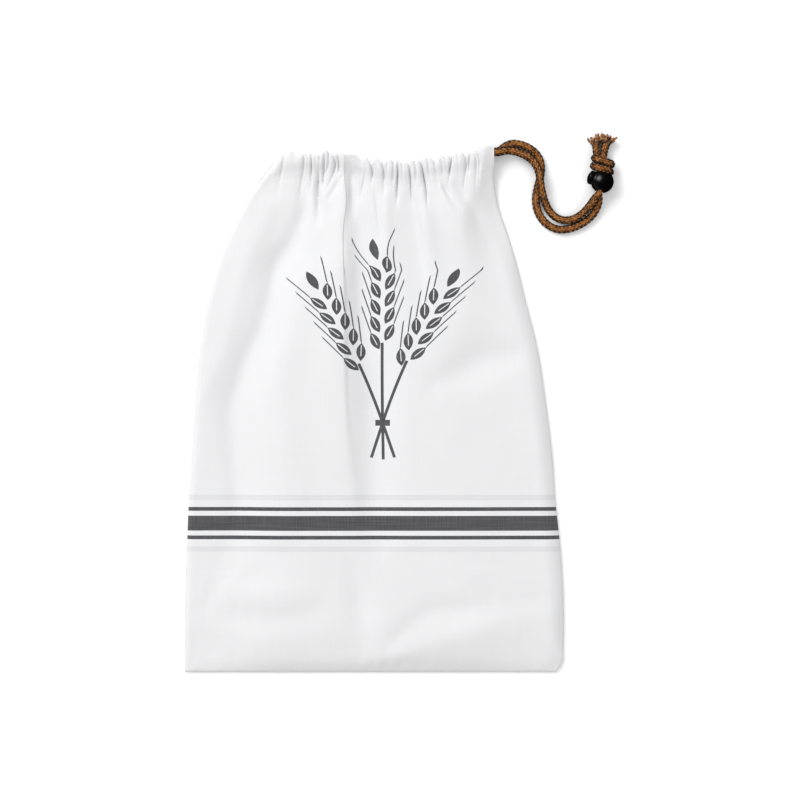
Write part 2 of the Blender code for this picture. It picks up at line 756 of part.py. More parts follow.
def add_locks(mesh, tail, locks):
    """The frayed end of a tail: tapering locks that fan out from inside its end and bend as they go."""
    end = Vector(tail[-1][:3])
    ahead = (end - Vector(tail[-2][:3])).normalized()
    straight = math.atan2(ahead.y, ahead.x)
    for k, lock in enumerate(locks):
        heading = straight + math.radians(lock.turn)
        spread = (2 * k / (len(locks) - 1) - 1) * (tail[-1].radius - 1.2 * LOCK_ROOT)
        root = end - ahead * LOCK_SUNK + Vector((math.sin(straight), -math.cos(straight), 0)) * spread
        points = []
        for step in range(LOCK_STEPS + 1):
            t = step / LOCK_STEPS
            bend = heading + math.radians(LOCK_BEND * lock.turn * (t - 0.5))
            rise = math.radians(lock.rise) * (1 - 0.5 * t)
            reach = lock.length * t
            point = root + Vector((math.cos(bend), math.sin(bend), math.sin(rise))) * reach
            point.z = max(point.z, 1.1 * LOCK_ROOT)
            points.append(point)
        radii = [LOCK_ROOT + (LOCK_TIP - LOCK_ROOT) * step / LOCK_STEPS for step in range(LOCK_STEPS + 1)]
        tube = bmesh.new()
        add_tube(tube, points, radii, LOCK_SIDES)
        merge_into(mesh, tube)


def make_knot(material):
    """The knot, its tails and their frayed ends, joined into one solid and cleared of the ball."""
    core = bmesh.new()
    bmesh.ops.create_uvsphere(core, u_segments=14, v_segments=8, radius=1.0)
    bmesh.ops.scale(core, vec=KNOT_CORE, verts=core.verts)
    bmesh.ops.rotate(core, matrix=Matrix.Rotation(KNOT_SLOPE, 3, "Z"), verts=core.verts)
    bmesh.ops.translate(core, vec=(*KNOT_AT, KNOT_MIDDLE), verts=core.verts)
    knot = finish_in_metres("knotted_ends", core, material)
    pieces = bmesh.new()
    for offset in TURN_OFFSETS:
        add_turn(pieces, offset)
    for tail in (SIDE_STRAND, LEFT_TAIL, RIGHT_TAIL):
        add_tail(pieces, tail)
    add_locks(pieces, LEFT_TAIL, LEFT_LOCKS)
    add_locks(pieces, RIGHT_TAIL, RIGHT_LOCKS)
    joined = hide_helper(finish_in_metres("knot pieces", pieces, material))
    add_boolean(knot, joined, "UNION", use_self=True)
    _, _, middle = lock_frame()
    clearance = bmesh.new()
    bmesh.ops.create_uvsphere(clearance, u_segments=32, v_segments=16, radius=BALL_RADIUS + 2 * GAP)
    bmesh.ops.translate(clearance, vec=middle, verts=clearance.verts)
    add_boolean(knot, hide_helper(finish_in_metres("ball clearance", clearance, material)), "DIFFERENCE")
    return knot


def finish_in_metres(name, mesh, material):
    """Takes a mesh in the tables' millimetres to the part's frame."""
    bmesh.ops.translate(mesh, vec=(0, -BAG_LENGTH / 2, 0), verts=mesh.verts)
    bmesh.ops.scale(mesh, vec=(MM, MM, MM), verts=mesh.verts)
    return finish_mesh(name, mesh, material)


def hide_helper(obj):
    obj.hide_render = True
    obj.display_type = "WIRE"
    return obj


def add_boolean(obj, other, operation, use_self=False):
    modifier = obj.modifiers.new(f"{operation.lower()} {other.name}", "BOOLEAN")
    modifier.operation = operation
    modifier.object = other
    modifier.use_self = use_self


def turned_to_button(mesh):
    """Turns a mesh made along +Z so that it lies along the button's axis, and moves it to the ball's middle."""
    button, _, middle = lock_frame()
    turn = button.to_track_quat("Z", "Y").to_matrix()
    bmesh.ops.rotate(mesh, matrix=turn, verts=mesh.verts)
    bmesh.ops.translate(mesh, vec=middle, verts=mesh.verts)


def make_ball(material):
    """The cord lock's ball, with the cord's hole through it and the button's socket."""
    button, hole, middle = lock_frame()
    ball = bmesh.new()
    bmesh.ops.create_uvsphere(ball, u_segments=32, v_segments=18, radius=BALL_RADIUS)
    bmesh.ops.translate(ball, vec=middle, verts=ball.verts)
    obj = finish_in_metres("toggle_ball", ball, material)

    socket = bmesh.new()
    depth = BALL_RADIUS
    bmesh.ops.create_cone(
        socket, cap_ends=True, segments=24, radius1=SOCKET_RADIUS, radius2=SOCKET_RADIUS, depth=depth
    )
    bmesh.ops.translate(socket, vec=(0, 0, SOCKET_FLOOR + depth / 2), verts=socket.verts)
    turned_to_button(socket)
    add_boolean(obj, hide_helper(finish_in_metres("socket cutter", socket, material)), "DIFFERENCE")

    channel = bmesh.new()
    half_width = SQUEEZED_RADIUS + GAP
    straight = SQUEEZED_RADIUS + GAP / 2
    ring = []
    for k in range(HOLE_SIDES):
        turn = 2 * math.pi * (k + 0.5) / HOLE_SIDES
        lift = math.copysign(straight, math.sin(turn)) + half_width * math.sin(turn)
        side = half_width * math.cos(turn) - HOLE_SHIFT
        start = middle + button * side + Vector((0, 0, lift)) - hole * 1.5 * BALL_RADIUS
        ring.append(channel.verts.new(start))
    face = channel.faces.new(ring)
    made = bmesh.ops.extrude_face_region(channel, geom=[face])
    moved = [v for v in made["geom"] if isinstance(v, bmesh.types.BMVert)]
    bmesh.ops.translate(channel, vec=hole * 3 * BALL_RADIUS, verts=moved)
    bmesh.ops.recalc_face_normals(channel, faces=channel.faces)
    add_boolean(obj, hide_helper(finish_in_metres("cord hole cutter", channel, material)), "DIFFERENCE")
    return obj


def make_button(material):
    """The push button: a short round plug with a shallow dome."""
    profile = (
        (0.0, BUTTON_INNER),
        (BUTTON_RADIUS, BUTTON_INNER),
        (BUTTON_RADIUS, BUTTON_RIM - BUTTON_BEVEL),
        (BUTTON_RADIUS - BUTTON_BEVEL, BUTTON_RIM),
        *((BUTTON_RADIUS * out, BUTTON_RIM + up * (BUTTON_TIP - BUTTON_RIM)) for out, up in BUTTON_DOME),
    )
    mesh = bmesh.new()
    line = [mesh.verts.new((radius, 0, height)) for radius, height in profile]
    edges = [mesh.edges.new(pair) for pair in zip(line, line[1:])]
    bmesh.ops.spin(
        mesh, geom=line + edges, axis=(0, 0, 1), cent=(0, 0, 0), angle=2 * math.pi, steps=24, use_merge=True
    )
    bmesh.ops.remove_doubles(mesh, verts=mesh.verts, dist=1e-3)
    bmesh.ops.recalc_face_normals(mesh, faces=mesh.faces)
    turned_to_button(mesh)
    return finish_in_metres("toggle_button", mesh, material)


def main():
    clear_scene()
    cotton = make_material("white cotton", (0.86, 0.86, 0.87), 0.9)
    cord = make_material("brown braid", (0.32, 0.14, 0.045), 0.8)
    plastic = make_material("black plastic", (0.008, 0.009, 0.011), 0.2)
    make_bag(cotton)
    lift = SQUEEZED_RADIUS + GAP / 2
    make_strand("strand_over", OVER_ROUTE, lift, cord)
    make_strand("strand_under", UNDER_ROUTE, -lift, cord)
    make_knot(cord)
    make_ball(plastic)
    make_button(plastic)


main()
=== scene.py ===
import math
from collections import namedtuple

import bmesh
import bpy
import numpy as np
from mathutils import Matrix, Vector, noise


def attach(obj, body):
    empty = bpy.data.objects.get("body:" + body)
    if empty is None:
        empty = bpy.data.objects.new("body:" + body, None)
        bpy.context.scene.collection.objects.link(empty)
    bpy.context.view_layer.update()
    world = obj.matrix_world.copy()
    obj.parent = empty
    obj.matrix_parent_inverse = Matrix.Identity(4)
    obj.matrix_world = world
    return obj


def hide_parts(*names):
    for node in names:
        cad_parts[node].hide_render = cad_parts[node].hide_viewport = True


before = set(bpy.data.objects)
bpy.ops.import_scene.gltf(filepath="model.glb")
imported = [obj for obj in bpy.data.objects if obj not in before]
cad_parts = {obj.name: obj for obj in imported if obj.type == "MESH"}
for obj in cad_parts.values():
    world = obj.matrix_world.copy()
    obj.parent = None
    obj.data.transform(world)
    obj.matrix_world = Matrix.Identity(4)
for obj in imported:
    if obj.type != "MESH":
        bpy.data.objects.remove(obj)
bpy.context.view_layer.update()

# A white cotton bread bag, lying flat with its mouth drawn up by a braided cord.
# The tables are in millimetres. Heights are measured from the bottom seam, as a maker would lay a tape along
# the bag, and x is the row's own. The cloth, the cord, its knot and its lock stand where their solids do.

MM = 0.001
SHARP_FROM = math.radians(40)  # edges from this angle are sharp
MERGE_WITHIN = 1e-3  # points this close to each other are one


def columns(names):
    """A maker of tables that have these columns, from one tuple for each row."""
    kind = namedtuple("Row", names)
    return lambda *rows: [kind(*row) for row in rows]


# The bag's cloth
BAG_LENGTH = 388.0
EDGE_RADIUS = 1.6  # of the lying bag's rounded edge
CLOTH = 0.26  # how thick it is
CASING_DEPTH = 20.0
SEAM_AT = BAG_LENGTH - CASING_DEPTH  # the casing's stitches
HEM_GAP = 1.3  # outer face of the cloth to the hem that is turned in behind it
TOP_STRETCH_FROM = 300.0  # the mesh rows above bend to the mouth's edge
SETTLE_IN = 9.0  # the folds fade towards the sides over this much, and towards the bottom seam
SETTLE_UP = 12.0

# How the front rises at each side. Above the top row it is rounded. Below, it rises in two steps with a flat
# margin between them: the first step's share of the rise and its width, where the second one starts, and its
# widths low and near the mouth
Side = namedtuple("Side", "roundness top share edge start width top_width")
LEFT_SIDE = Side(2.0, 408.0, 0.32, 4.5, 13.0, 60.0, 135.0)
RIGHT_SIDE = Side(1.5, 330.0, 0.65, 12.0, 15.0, 66.0, 66.0)
FLATNESS = 0.5  # how much of the rounded rise is held back from the edge
MARGIN_BLEND = 40.0  # the two ways of rising blend over this much below the top row
MARGIN_WIDENS_AT = 280.0
MARGIN_WIDENING = 50.0  # to its width near the mouth, over this much

# The outline, the height of the front cloth and how far in from each edge it takes to rise to that height
section_rows = columns("height left right crown left_shoulder right_shoulder")
SECTIONS = section_rows(
    (0, -140.4, 134.0, 3.2, 30, 30), (6, -140.4, 138.1, 6.5, 32, 34), (20, -140.4, 139.4, 9.9, 36, 42),
    (54, -140.0, 139.4, 11.6, 40, 52), (80, -139.2, 138.2, 11.5, 42, 56), (100, -138.4, 136.5, 11.4, 44, 58),
    (124, -137.4, 133.8, 11.2, 44, 58), (160, -135.2, 131.2, 11.2, 46, 58),
    (195, -133.0, 127.0, 11.2, 46, 58), (242, -128.6, 119.7, 11.2, 46, 58),
    (277, -122.7, 110.9, 11.2, 44, 54), (301, -116.0, 105.0, 11.2, 42, 46),
    (325, -107.2, 97.8, 11.4, 38, 36), (340, -101.0, 92.5, 11.8, 34, 28), (358, -92.5, 88.8, 12.4, 40, 18),
    (370, -85.0, 88.1, 13.2, 43, 12), (380, -79.0, 88.0, 13.2, 43, 8), (388, -74.0, 88.0, 12.9, 42, 6),
)

# The mouth's edge, from left to right
mouth_rows = columns("x height")
MOUTH = mouth_rows(
    (-74.0, 379.1), (-69.0, 382.0), (-61.0, 383.6), (-43.0, 382.8), (-30.0, 384.0), (-20.5, 383.6),
    (-15.7, 382.8), (-7.6, 380.5), (5.4, 377.2), (18.3, 376.9), (33.0, 377.6), (45.9, 380.6), (58.8, 382.8),
    (71.8, 385.0), (81.5, 388.0), (88.0, 387.6),
)

# The rolled rim of the gathers, lobe by lobe
RIM = mouth_rows(
    (-75.5, 376.9), (-71.1, 381.3), (-65.9, 382.4), (-62.2, 384.1), (-57.8, 381.7), (-51.2, 382.2),
    (-49.6, 381.3), (-47.5, 382.6), (-44.9, 381.4), (-42.7, 382.1), (-40.1, 380.6), (-38.2, 383.9),
    (-36.3, 384.9), (-34.6, 384.2), (-32.8, 382.6), (-26.1, 382.9), (-22.6, 382.2), (-14.4, 381.7),
    (-9.0, 377.2), (-6.3, 379.7), (-3.3, 376.2), (1.1, 378.9), (5.6, 375.6), (8.0, 376.8), (11.4, 378.1),
    (14.4, 376.1), (17.0, 377.2), (20.1, 374.8), (22.8, 376.4), (25.3, 374.9), (27.6, 377.4), (29.8, 376.1),
    (32.1, 377.4), (33.6, 376.6), (36.0, 378.9), (40.9, 378.8), (44.2, 376.8), (49.0, 380.8), (52.3, 379.3),
    (54.2, 381.1), (57.0, 378.6), (59.3, 382.1), (61.5, 381.4), (63.7, 383.0), (66.7, 381.2), (68.9, 383.3),
    (73.3, 383.7), (76.3, 385.4), (83.6, 387.8), (88.0, 387.2),
)
RIM_DEPTH = 14.0  # the lobes fade into the casing over this much

# The creases between the gathers: where each lies at the mouth, within the casing, at its stitches, just
# below them and at its end, where it ends, and how deep it is at the mouth, within the casing and at its
# stitches
crease_rows = columns("mouth_x casing_x seam_x low_x end_x end mouth middle seam width")
CREASES = crease_rows(
    (-66.4, -67.9, -69.6, -71.0, -71.8, 350, 1.4, 1.5, 0.8, 0.9),
    (-58.6, -58.3, -57.4, -56.6, -56.2, 360, 1.0, 0.6, 0.3, 1.2),
    (-51.6, -52.2, -53.4, -56.2, -61.5, 338, 1.6, 2.2, 1.6, 1.2),
    (-49.4, -49.4, -49.2, -49.0, -49.0, 362, 1.4, 1.2, 0.3, 0.6),
    (-46.4, -46.5, -46.8, -47.2, -47.6, 350, 1.2, 2.8, 1.5, 0.8),
    (-43.6, -43.0, -42.4, -42.2, -42.2, 364, 1.4, 0.9, 0.2, 0.6),
    (-40.0, -41.0, -41.4, -41.4, -41.2, 328, 2.2, 1.2, 2.6, 1.1),
    (-36.8, -37.2, -37.8, -38.6, -39.0, 354, 0.5, 2.6, 2.2, 0.9),
    (-33.6, -34.2, -37.0, -40.0, -41.0, 358, 2.0, 2.0, 0.8, 0.8),
    (-30.6, -28.8, -31.4, -36.4, -37.8, 352, 1.6, 2.4, 1.6, 0.8),
    (-27.6, -26.2, -27.2, -29.8, -31.0, 360, 1.4, 2.4, 0.6, 0.7),
    (-8.6, -7.9, -7.4, -7.4, -7.4, 366, 1.8, 0.8, 0.1, 0.7),
    (-5.4, -6.4, -8.2, -10.2, -10.8, 344, 0.5, 1.0, 2.0, 1.0),
    (-3.4, -1.5, -2.0, -3.0, -3.2, 358, 1.6, 2.6, 0.7, 1.0),
    (1.6, 1.4, 0.8, 0.6, 0.4, 364, 0.9, 0.6, 0.2, 1.2), (5.8, 7.0, 6.6, 5.8, 5.2, 358, 1.5, 2.3, 0.8, 0.8),
    (10.0, 9.0, 7.6, 6.0, 5.0, 342, 1.2, 1.0, 1.2, 0.7),
    (14.2, 13.8, 13.4, 13.0, 13.0, 362, 1.2, 1.8, 0.4, 0.7),
    (17.2, 17.2, 16.8, 16.5, 16.2, 344, 1.0, 3.3, 2.8, 0.9),
    (20.3, 20.6, 20.7, 20.8, 20.8, 364, 1.9, 1.1, 0.2, 0.7),
    (25.4, 26.2, 26.8, 28.0, 29.4, 342, 1.3, 2.9, 2.4, 0.9),
    (29.8, 30.6, 31.3, 31.8, 32.0, 364, 1.4, 1.6, 0.2, 0.7),
    (34.0, 35.7, 37.4, 40.2, 46.6, 336, 1.8, 3.3, 3.2, 0.9),
    (39.2, 40.0, 41.2, 42.6, 43.4, 362, 1.2, 1.5, 0.3, 0.7),
    (44.2, 45.0, 46.5, 48.4, 49.8, 352, 1.9, 1.3, 1.0, 0.9),
    (49.0, 50.2, 51.0, 51.4, 51.6, 364, 0.9, 1.4, 0.3, 1.1),
    (52.4, 52.7, 53.2, 53.8, 54.0, 366, 1.2, 0.7, 0.1, 0.6),
    (57.2, 55.7, 54.8, 53.4, 53.0, 352, 1.9, 3.3, 1.1, 1.0),
    (61.4, 61.8, 62.2, 62.6, 62.8, 364, 1.0, 0.7, 0.3, 0.8),
    (66.6, 67.5, 66.5, 65.8, 65.2, 346, 1.6, 2.3, 1.5, 1.3),
    (70.6, 69.5, 69.2, 69.4, 69.6, 360, 0.7, 2.2, 0.5, 1.1),
    (74.2, 75.0, 74.8, 74.3, 74.0, 350, 0.7, 1.5, 1.3, 1.1),
    (75.4, 77.4, 76.9, 76.4, 76.2, 358, 2.6, 1.6, 0.9, 0.7),
)
CASING_MIDDLE = 378
BELOW_SEAM = 356
CREASE_LOW = 8  # the point just below the stitches is at most this far above a crease's end
CREASE_RUNOUT = 12  # and it runs out this far below the end
CREASE_SPREAD = 1.7  # how far it spreads, in its widths
CREASE_WIDENS = 1.6  # at its end it is wider by this share
CREASE_LEFT = 1.35  # shares of its width on its two sides
CREASE_RIGHT = 0.8
CREASE_SHARE = 0.75  # how much of a crease's depth is its broad valley
CREASE_CORE = 0.9  # the rest is a narrow one in its middle
CORE_FROM = 0.8
CORE_WIDTH = 0.6

# The cloth sinks at the casing's stitches, rises to the rolled edge and turns down again right at it
STITCH_GROOVE = 0.25
STITCH_GROOVE_WIDTH = 0.9
SEAM_SINK = 0.7
SINK_ABOVE = 8.0
SINK_BELOW = 13.0
CASING_ROLL = 2.0
ROLL_FROM = 3.0
ROLL_OVER = 12.0
RIM_ROLL = 2.2
RIM_RADIUS = 2.8

# The puckers along the bottom seam
RIPPLE = 0.32
RIPPLE_FROM = 3.0
RIPPLE_REACH = 9.0
RIPPLE_LENGTH = 2.1
RIPPLE_SHIFT = (1.7, 13.0)  # how far the waves shift to and fro, and over what length
RIPPLE_SWELL = (0.55, 0.45, 23.0, 0.8)  # their mean size, how much it varies, over what length, and its phase

# Low swells all over the cloth, and crumples in patches
swell_rows = columns("size layer depth")
SWELLS = swell_rows(((46.0, 70.0), 3.7, 0.55), ((24.0, 30.0), 5.3, 0.3), ((14.0, 20.0), 9.1, 0.16))
CRUMPLE = 1.2
CRUMPLE_SIZE = (40.0, 27.0)
CRUMPLE_LAYER = 2.2
CRUMPLE_BEND = (0.4, 0.5)  # by the fine and by the broad swells
CRUMPLE_WIDTH = 0.17
PATCH_SIZE = (60.0, 45.0)
PATCH_LAYER = 6.6
PATCH_SHARE = 0.25
CRUMPLE_AT = 62.0
CRUMPLE_REACH = 48.0
CRUMPLE_ELSEWHERE = 0.12

# How far the seam and the casing's open end are lifted at the right side, as shares of the front's height
end_lift_rows = columns("row front back")
END_LIFTS = end_lift_rows(
    (325, 0.0, 0.0), (345, 0.06, 0.06), (356, 0.20, 0.20), (366, 0.42, 0.42), (369, 0.52, 0.36),
    (374, 0.76, 0.12), (380, 0.92, 0.0), (388, 0.93, 0.0),
)
BACK_LIFT_WIDTH = 9.0
CASING_END_FROM = SEAM_AT - 4.0  # the right side opens from here
CASING_END_OVER = 8.0
OPEN_END_WIDTH = 6.0

# The back's share in the gathers
BACK_PUCKER = 1.5
BACK_PUCKER_SHIFT = 2.4
BACK_PUCKER_WIDTH = 1.3
BACK_PUCKER_FROM = BAG_LENGTH - 44.0
BACK_PUCKER_OVER = 28.0

# The folds of the front cloth. Each is a line of points: a rise above nought is a ridge, below it a trough,
# and left and right are how far it spreads on either side, seen along the line
fold_rows = columns("x height rise left right")
FOLDS = {
    "hollow right of the pleat": fold_rows(
        (-12.9, 348, -0.9, 7, 8), (-9.2, 304, -2.3, 10, 15), (-6.3, 252, -2.6, 12, 18),
        (-0.4, 212, -2.8, 13, 16), (-1.0, 164, -2.6, 14, 16), (0.0, 134, -2.2, 14, 17),
        (-1.8, 104, -1.2, 14, 18),
    ),
    "left valley": fold_rows(
        (-52.5, 362, -0.7, 5, 4), (-51.0, 350, -1.5, 6, 4), (-52.5, 336, -1.9, 7, 6),
        (-58.5, 318, -2.3, 9, 10), (-70.0, 300, -3.6, 10, 14), (-74.5, 280, -3.5, 10, 14),
        (-80.5, 256, -3.2, 10, 14), (-89.5, 238, -3.2, 10, 14), (-97.5, 217, -3.3, 10, 15),
        (-103.0, 198, -3.1, 11, 15), (-103.0, 177, -2.9, 11, 15), (-100.0, 142, -2.6, 11, 15),
        (-100.5, 112, -2.2, 11, 15), (-109.0, 83, -0.8, 11, 14),
    ),
    "left swell": fold_rows(
        (-75.5, 344, 0.6, 8, 8), (-91.7, 311, 1.2, 11, 8), (-103.0, 274, 1.2, 12, 8),
        (-111.0, 241, 0.9, 10, 7), (-125.0, 207, 0.6, 8, 6),
    ),
    "swell beside the valley": fold_rows(
        (-52.0, 322, 0.6, 8, 9), (-63.0, 282, 0.8, 9, 14), (-70.5, 241, 0.9, 10, 16),
        (-74.0, 215, 0.8, 10, 16), (-65.9, 171, 1.0, 14, 16), (-54.9, 127, 0.9, 15, 15),
        (-53.4, 83, 0.4, 15, 15),
    ),
    "right ridge": fold_rows(
        (48.8, 354, 0.5, 5, 6), (56.0, 340, 1.2, 8, 8), (63.6, 324, 1.6, 11, 9), (69.0, 300, 1.5, 13, 12),
        (71.5, 268, 0.7, 15, 15),
    ),
    "right hollow": fold_rows(
        (46.0, 213, -0.9, 8, 8), (62.7, 221, -2.0, 12, 12), (79.2, 229, -2.3, 14, 13),
        (94.2, 232, -1.7, 12, 12), (106.0, 235, -0.7, 7, 7),
    ),
    "middle trough": fold_rows(
        (26.0, 356, -0.9, 8, 3), (28.5, 342, -1.7, 11, 3.5), (31.0, 328, -1.9, 14, 4),
        (33.0, 310, -1.7, 15, 5), (34.0, 285, -1.1, 14, 8), (34.0, 262, -0.5, 12, 10),
    ),
    "thin crease left of the middle trough": fold_rows(
        (0.4, 354, -0.3, 1.6, 1.6), (2.2, 342, -0.8, 1.8, 1.8), (4.2, 329, -0.6, 2.2, 2.2),
        (5.6, 320, -0.2, 3.0, 3.0),
    ),
    "valley between the left gathers": fold_rows(
        (-42.2, 361, -0.6, 2.2, 2.2), (-41.6, 352, -1.5, 2.8, 2.4), (-40.8, 342, -1.3, 3.0, 2.4),
        (-42.0, 331, -0.5, 4.0, 3.6),
    ),
    "valley right of the pleat's edge": fold_rows(
        (-17.2, 366, -0.6, 2.4, 2.6), (-16.8, 354, -1.1, 2.8, 3.2), (-18.0, 340, -0.8, 3.0, 4.0),
        (-20.0, 328, -0.2, 3.0, 5.0),
    ),
    "lobe right of the pleat": fold_rows(
        (-10.5, 388, -0.8, 9, 2), (-10.0, 376, -1.6, 10, 2), (-10.5, 364, -1.3, 10, 3),
        (-12.0, 352, -0.5, 8, 4),
    ),
    "crest left of the middle trough": fold_rows(
        (8.5, 350, 0.8, 4, 4), (9.6, 308, 0.6, 5, 5),
    ),
    "crest right of the middle trough": fold_rows(
        (36.5, 354, 0.7, 4, 4), (38.0, 334, 0.9, 4, 6), (40.0, 312, 0.7, 5, 8), (41.0, 288, 0.3, 6, 10),
    ),
    "crease across the gathers left of the pleat": fold_rows(
        (-24.7, 365, -0.5, 1.4, 1.8), (-28.6, 358, -1.0, 1.5, 2.2), (-33.5, 351, -0.7, 1.6, 2.4),
    ),
    "crease below the stitches": fold_rows(
        (49.4, 360, -0.4, 0.9, 1.6), (52.2, 355, -1.2, 1.0, 2.2), (56.0, 349, -0.8, 1.4, 3.0),
        (61.0, 342, -0.4, 2.0, 4.0),
    ),
    "valley right of the gathers": fold_rows(
        (60.5, 359, -0.6, 3, 3), (66.8, 350, -1.0, 4, 5), (74.0, 340, -1.0, 5, 7), (79.0, 326, -0.5, 6, 8),
    ),
    "low wrinkle": fold_rows(
        (12.9, 22, -0.4, 6, 5), (29.8, 37, -1.0, 7, 6), (48.3, 45, -0.9, 8, 7), (92.5, 50, -0.6, 8, 7),
        (130.0, 53, -0.3, 6, 6),
    ),
    "ridge below the wrinkle": fold_rows(
        (-1.8, 8, 0.4, 6, 6), (26.2, 16, 1.2, 7, 8), (55.6, 25, 1.2, 8, 14), (92.5, 38, 0.9, 9, 19),
        (122.0, 46, 0.4, 8, 16),
    ),
    "dent under the pleat": fold_rows(
        (-15.0, 74, -1.2, 11, 9), (-10.0, 52, -1.9, 12, 10), (-8.0, 30, -1.3, 13, 11),
    ),
    "low wrinkle on the left": fold_rows(
        (-114.0, 43, -0.3, 5, 8), (-92.0, 40, -0.8, 6, 9), (-66.0, 41, -0.8, 5, 9), (-42.0, 46, -0.5, 5, 9),
    ),
    "ridge above it": fold_rows(
        (-118.0, 62, 0.3, 8, 8), (-88.0, 57, 0.7, 8, 9), (-52.0, 60, 0.5, 8, 9),
    ),
}
FOLD_POINTS = 25  # along each fold's line
FOLD_DEPTH = 1.55  # times the rises above

# The pleat whose left side laps over the right one: its edge, how much cloth it hides, how far it stands up,
# how far that spreads to the left and to the right, the step at its edge down to the layer beneath, and over
# how much width it slopes away where nothing is hidden
lap_rows = columns("height x hidden rise left right step slope")
PLEAT = lap_rows(
    (0, -9.2, 0.0, 0.0, 14, 14, 0.0, 14), (61, -9.2, 0.0, 0.3, 14, 14, 0.0, 14),
    (83, -12.2, 0.0, 0.8, 16, 13, 0.1, 12), (127, -16.6, 0.0, 1.6, 18, 12, 0.3, 9),
    (166, -21.0, 0.0, 2.4, 22, 10, 0.7, 7), (201, -22.8, 0.0, 3.0, 22, 9, 1.1, 5),
    (252, -23.2, 0.0, 3.5, 20, 8, 1.3, 4.0), (282, -23.2, 0.0, 3.5, 18, 8, 1.2, 3.2),
    (296, -23.2, 0.0, 3.4, 17, 8, 0.9, 2.2), (303, -23.2, 2.0, 3.2, 16, 8, 0.6, 0.8),
    (314, -23.2, 4.0, 3.0, 15, 8, 0.5, 0), (332, -22.8, 4.0, 2.8, 12, 7, 0.5, 0),
    (345, -21.2, 4.0, 2.4, 8, 4, 0.6, 0), (358, -21.2, 3.0, 2.2, 6, 3, 0.7, 0),
    (366, -22.2, 2.0, 2.0, 5, 3, 0.6, 0), (375, -22.2, 1.0, 1.6, 5, 3, 0.6, 0.6),
    (388, -22.4, 0.0, 1.2, 5, 3, 0.5, 1.8),
)
# The cloth's path from the lap's edge to the layer under it. Level 0 is the upper layer, 1 the hidden one
# between, and 2 the layer beneath; out is in rounded edges, back in hidden widths
lap_step_rows = columns("out back level")
LAP_STEPS = lap_step_rows(
    (0.7, 0.0, 0.15), (1.0, 0.0, 0.5), (0.7, 0.0, 0.85), (0.0, 0.06, 1.0), (0.0, 0.3, 1.0), (0.0, 0.6, 1.0),
    (0.0, 0.9, 1.0), (-0.7, 1.0, 1.15), (-1.0, 1.0, 1.5), (-0.7, 1.0, 1.85),
)
LAP_ROUND = 0.12
FULLY_FOLDED = 2.0  # hidden width from which the cloth turns right back under itself

# The print: three wheat ears tied in a sheaf, and stripes below it. Places are on the cloth itself, so the
# pleat hides part of the sheaf
SHEAF_AT = (6.0, 184.0)
TIE_HALF = (5.4, 2.2)
KERNEL_STEP = 12.5
KERNEL_HALF = 6.9
KERNEL_WIDE = 3.3
KERNEL_OUT = 5.2
KERNEL_LEAN = math.radians(28)
AWN_FROM = 8.4
AWN_TO = 15.5
AWN_SLOPE = math.tan(math.radians(20))
AWN_WIDE = 1.3
GROOVE_HALF = 0.32
GROOVE_ENDS = (-3.2, 5.2)
TIP_OUT = 0.9  # the last kernel's place, in steps past the others
TIP_LONG = 1.15
STEM_WIDE = 1.1
STEM_BELOW = 27.0
STEM_INTO = 0.4  # in steps into the ear
ear_rows = columns("turn start kernels bend")
EARS = ear_rows(
    (-19, 42, 5, -0.0011), (-1, 54, 5, 0.0002), (18, 44, 5, 0.0012),
)
stripe_rows = columns("height half tone")
STRIPES = stripe_rows(
    (129.0, 2.0, "pale"), (120.5, 1.4, "dark"), (110.0, 5.5, "dark"), (99.5, 1.4, "dark"),
    (91.0, 2.0, "pale"),
)

# The weave and its slubs
THREAD_STEP = 0.5
SLUB_SCALES = ((900.0, 28.0, 1.0), (30.0, 900.0, 1.0))

# The casing's stitches
STITCH_STEP = 3.1
STITCH_LENGTH = 2.4
STITCH_RADIUS = 0.2
STITCH_SIDES = 8
STITCH_RINGS = 7
STITCH_INSET = 2.0
STITCH_SPACING = 0.25  # between the points of the line that they follow
FRONT_STITCH_LIFT = 0.08
BACK_STITCH_LIFT = -0.02

# The cloth's mesh: its rows from the bottom up, as heights and as steps up to a height, those of the rim as
# shares of its radius and those of the hem as depths, and its columns with the close ones beside each edge
BOTTOM_ROWS = (0.0, 0.4, 1.0, 1.8, 3.0, 4.6, 6.6, 9.0, 12.0, 15.5)
ROW_STEPS = ((316, 5.2), (362, 2.1))
CASING_ROW_STEP = 1.15
RIM_ROWS = (0.3, 0.55, 0.75, 0.9, 0.98, 1.0)
HEM_ROWS = (0.9, 2.4, 5.0, 8.0, 11.0, 14.5, 18.0)
HEM_TURN = 2.4  # the hem turns in over this much
LEFT_COLUMNS = 96
RIGHT_COLUMNS = 212
BACK_COLUMNS = 52
EDGE_COLUMNS = (0.0, 0.0015, 0.004, 0.0075, 0.012, 0.018)
BACK_EDGE_COLUMNS = (0.0, 0.006, 0.014)
LAP_COLUMNS = (0.9935, 0.9970, 0.9988, 1.0)

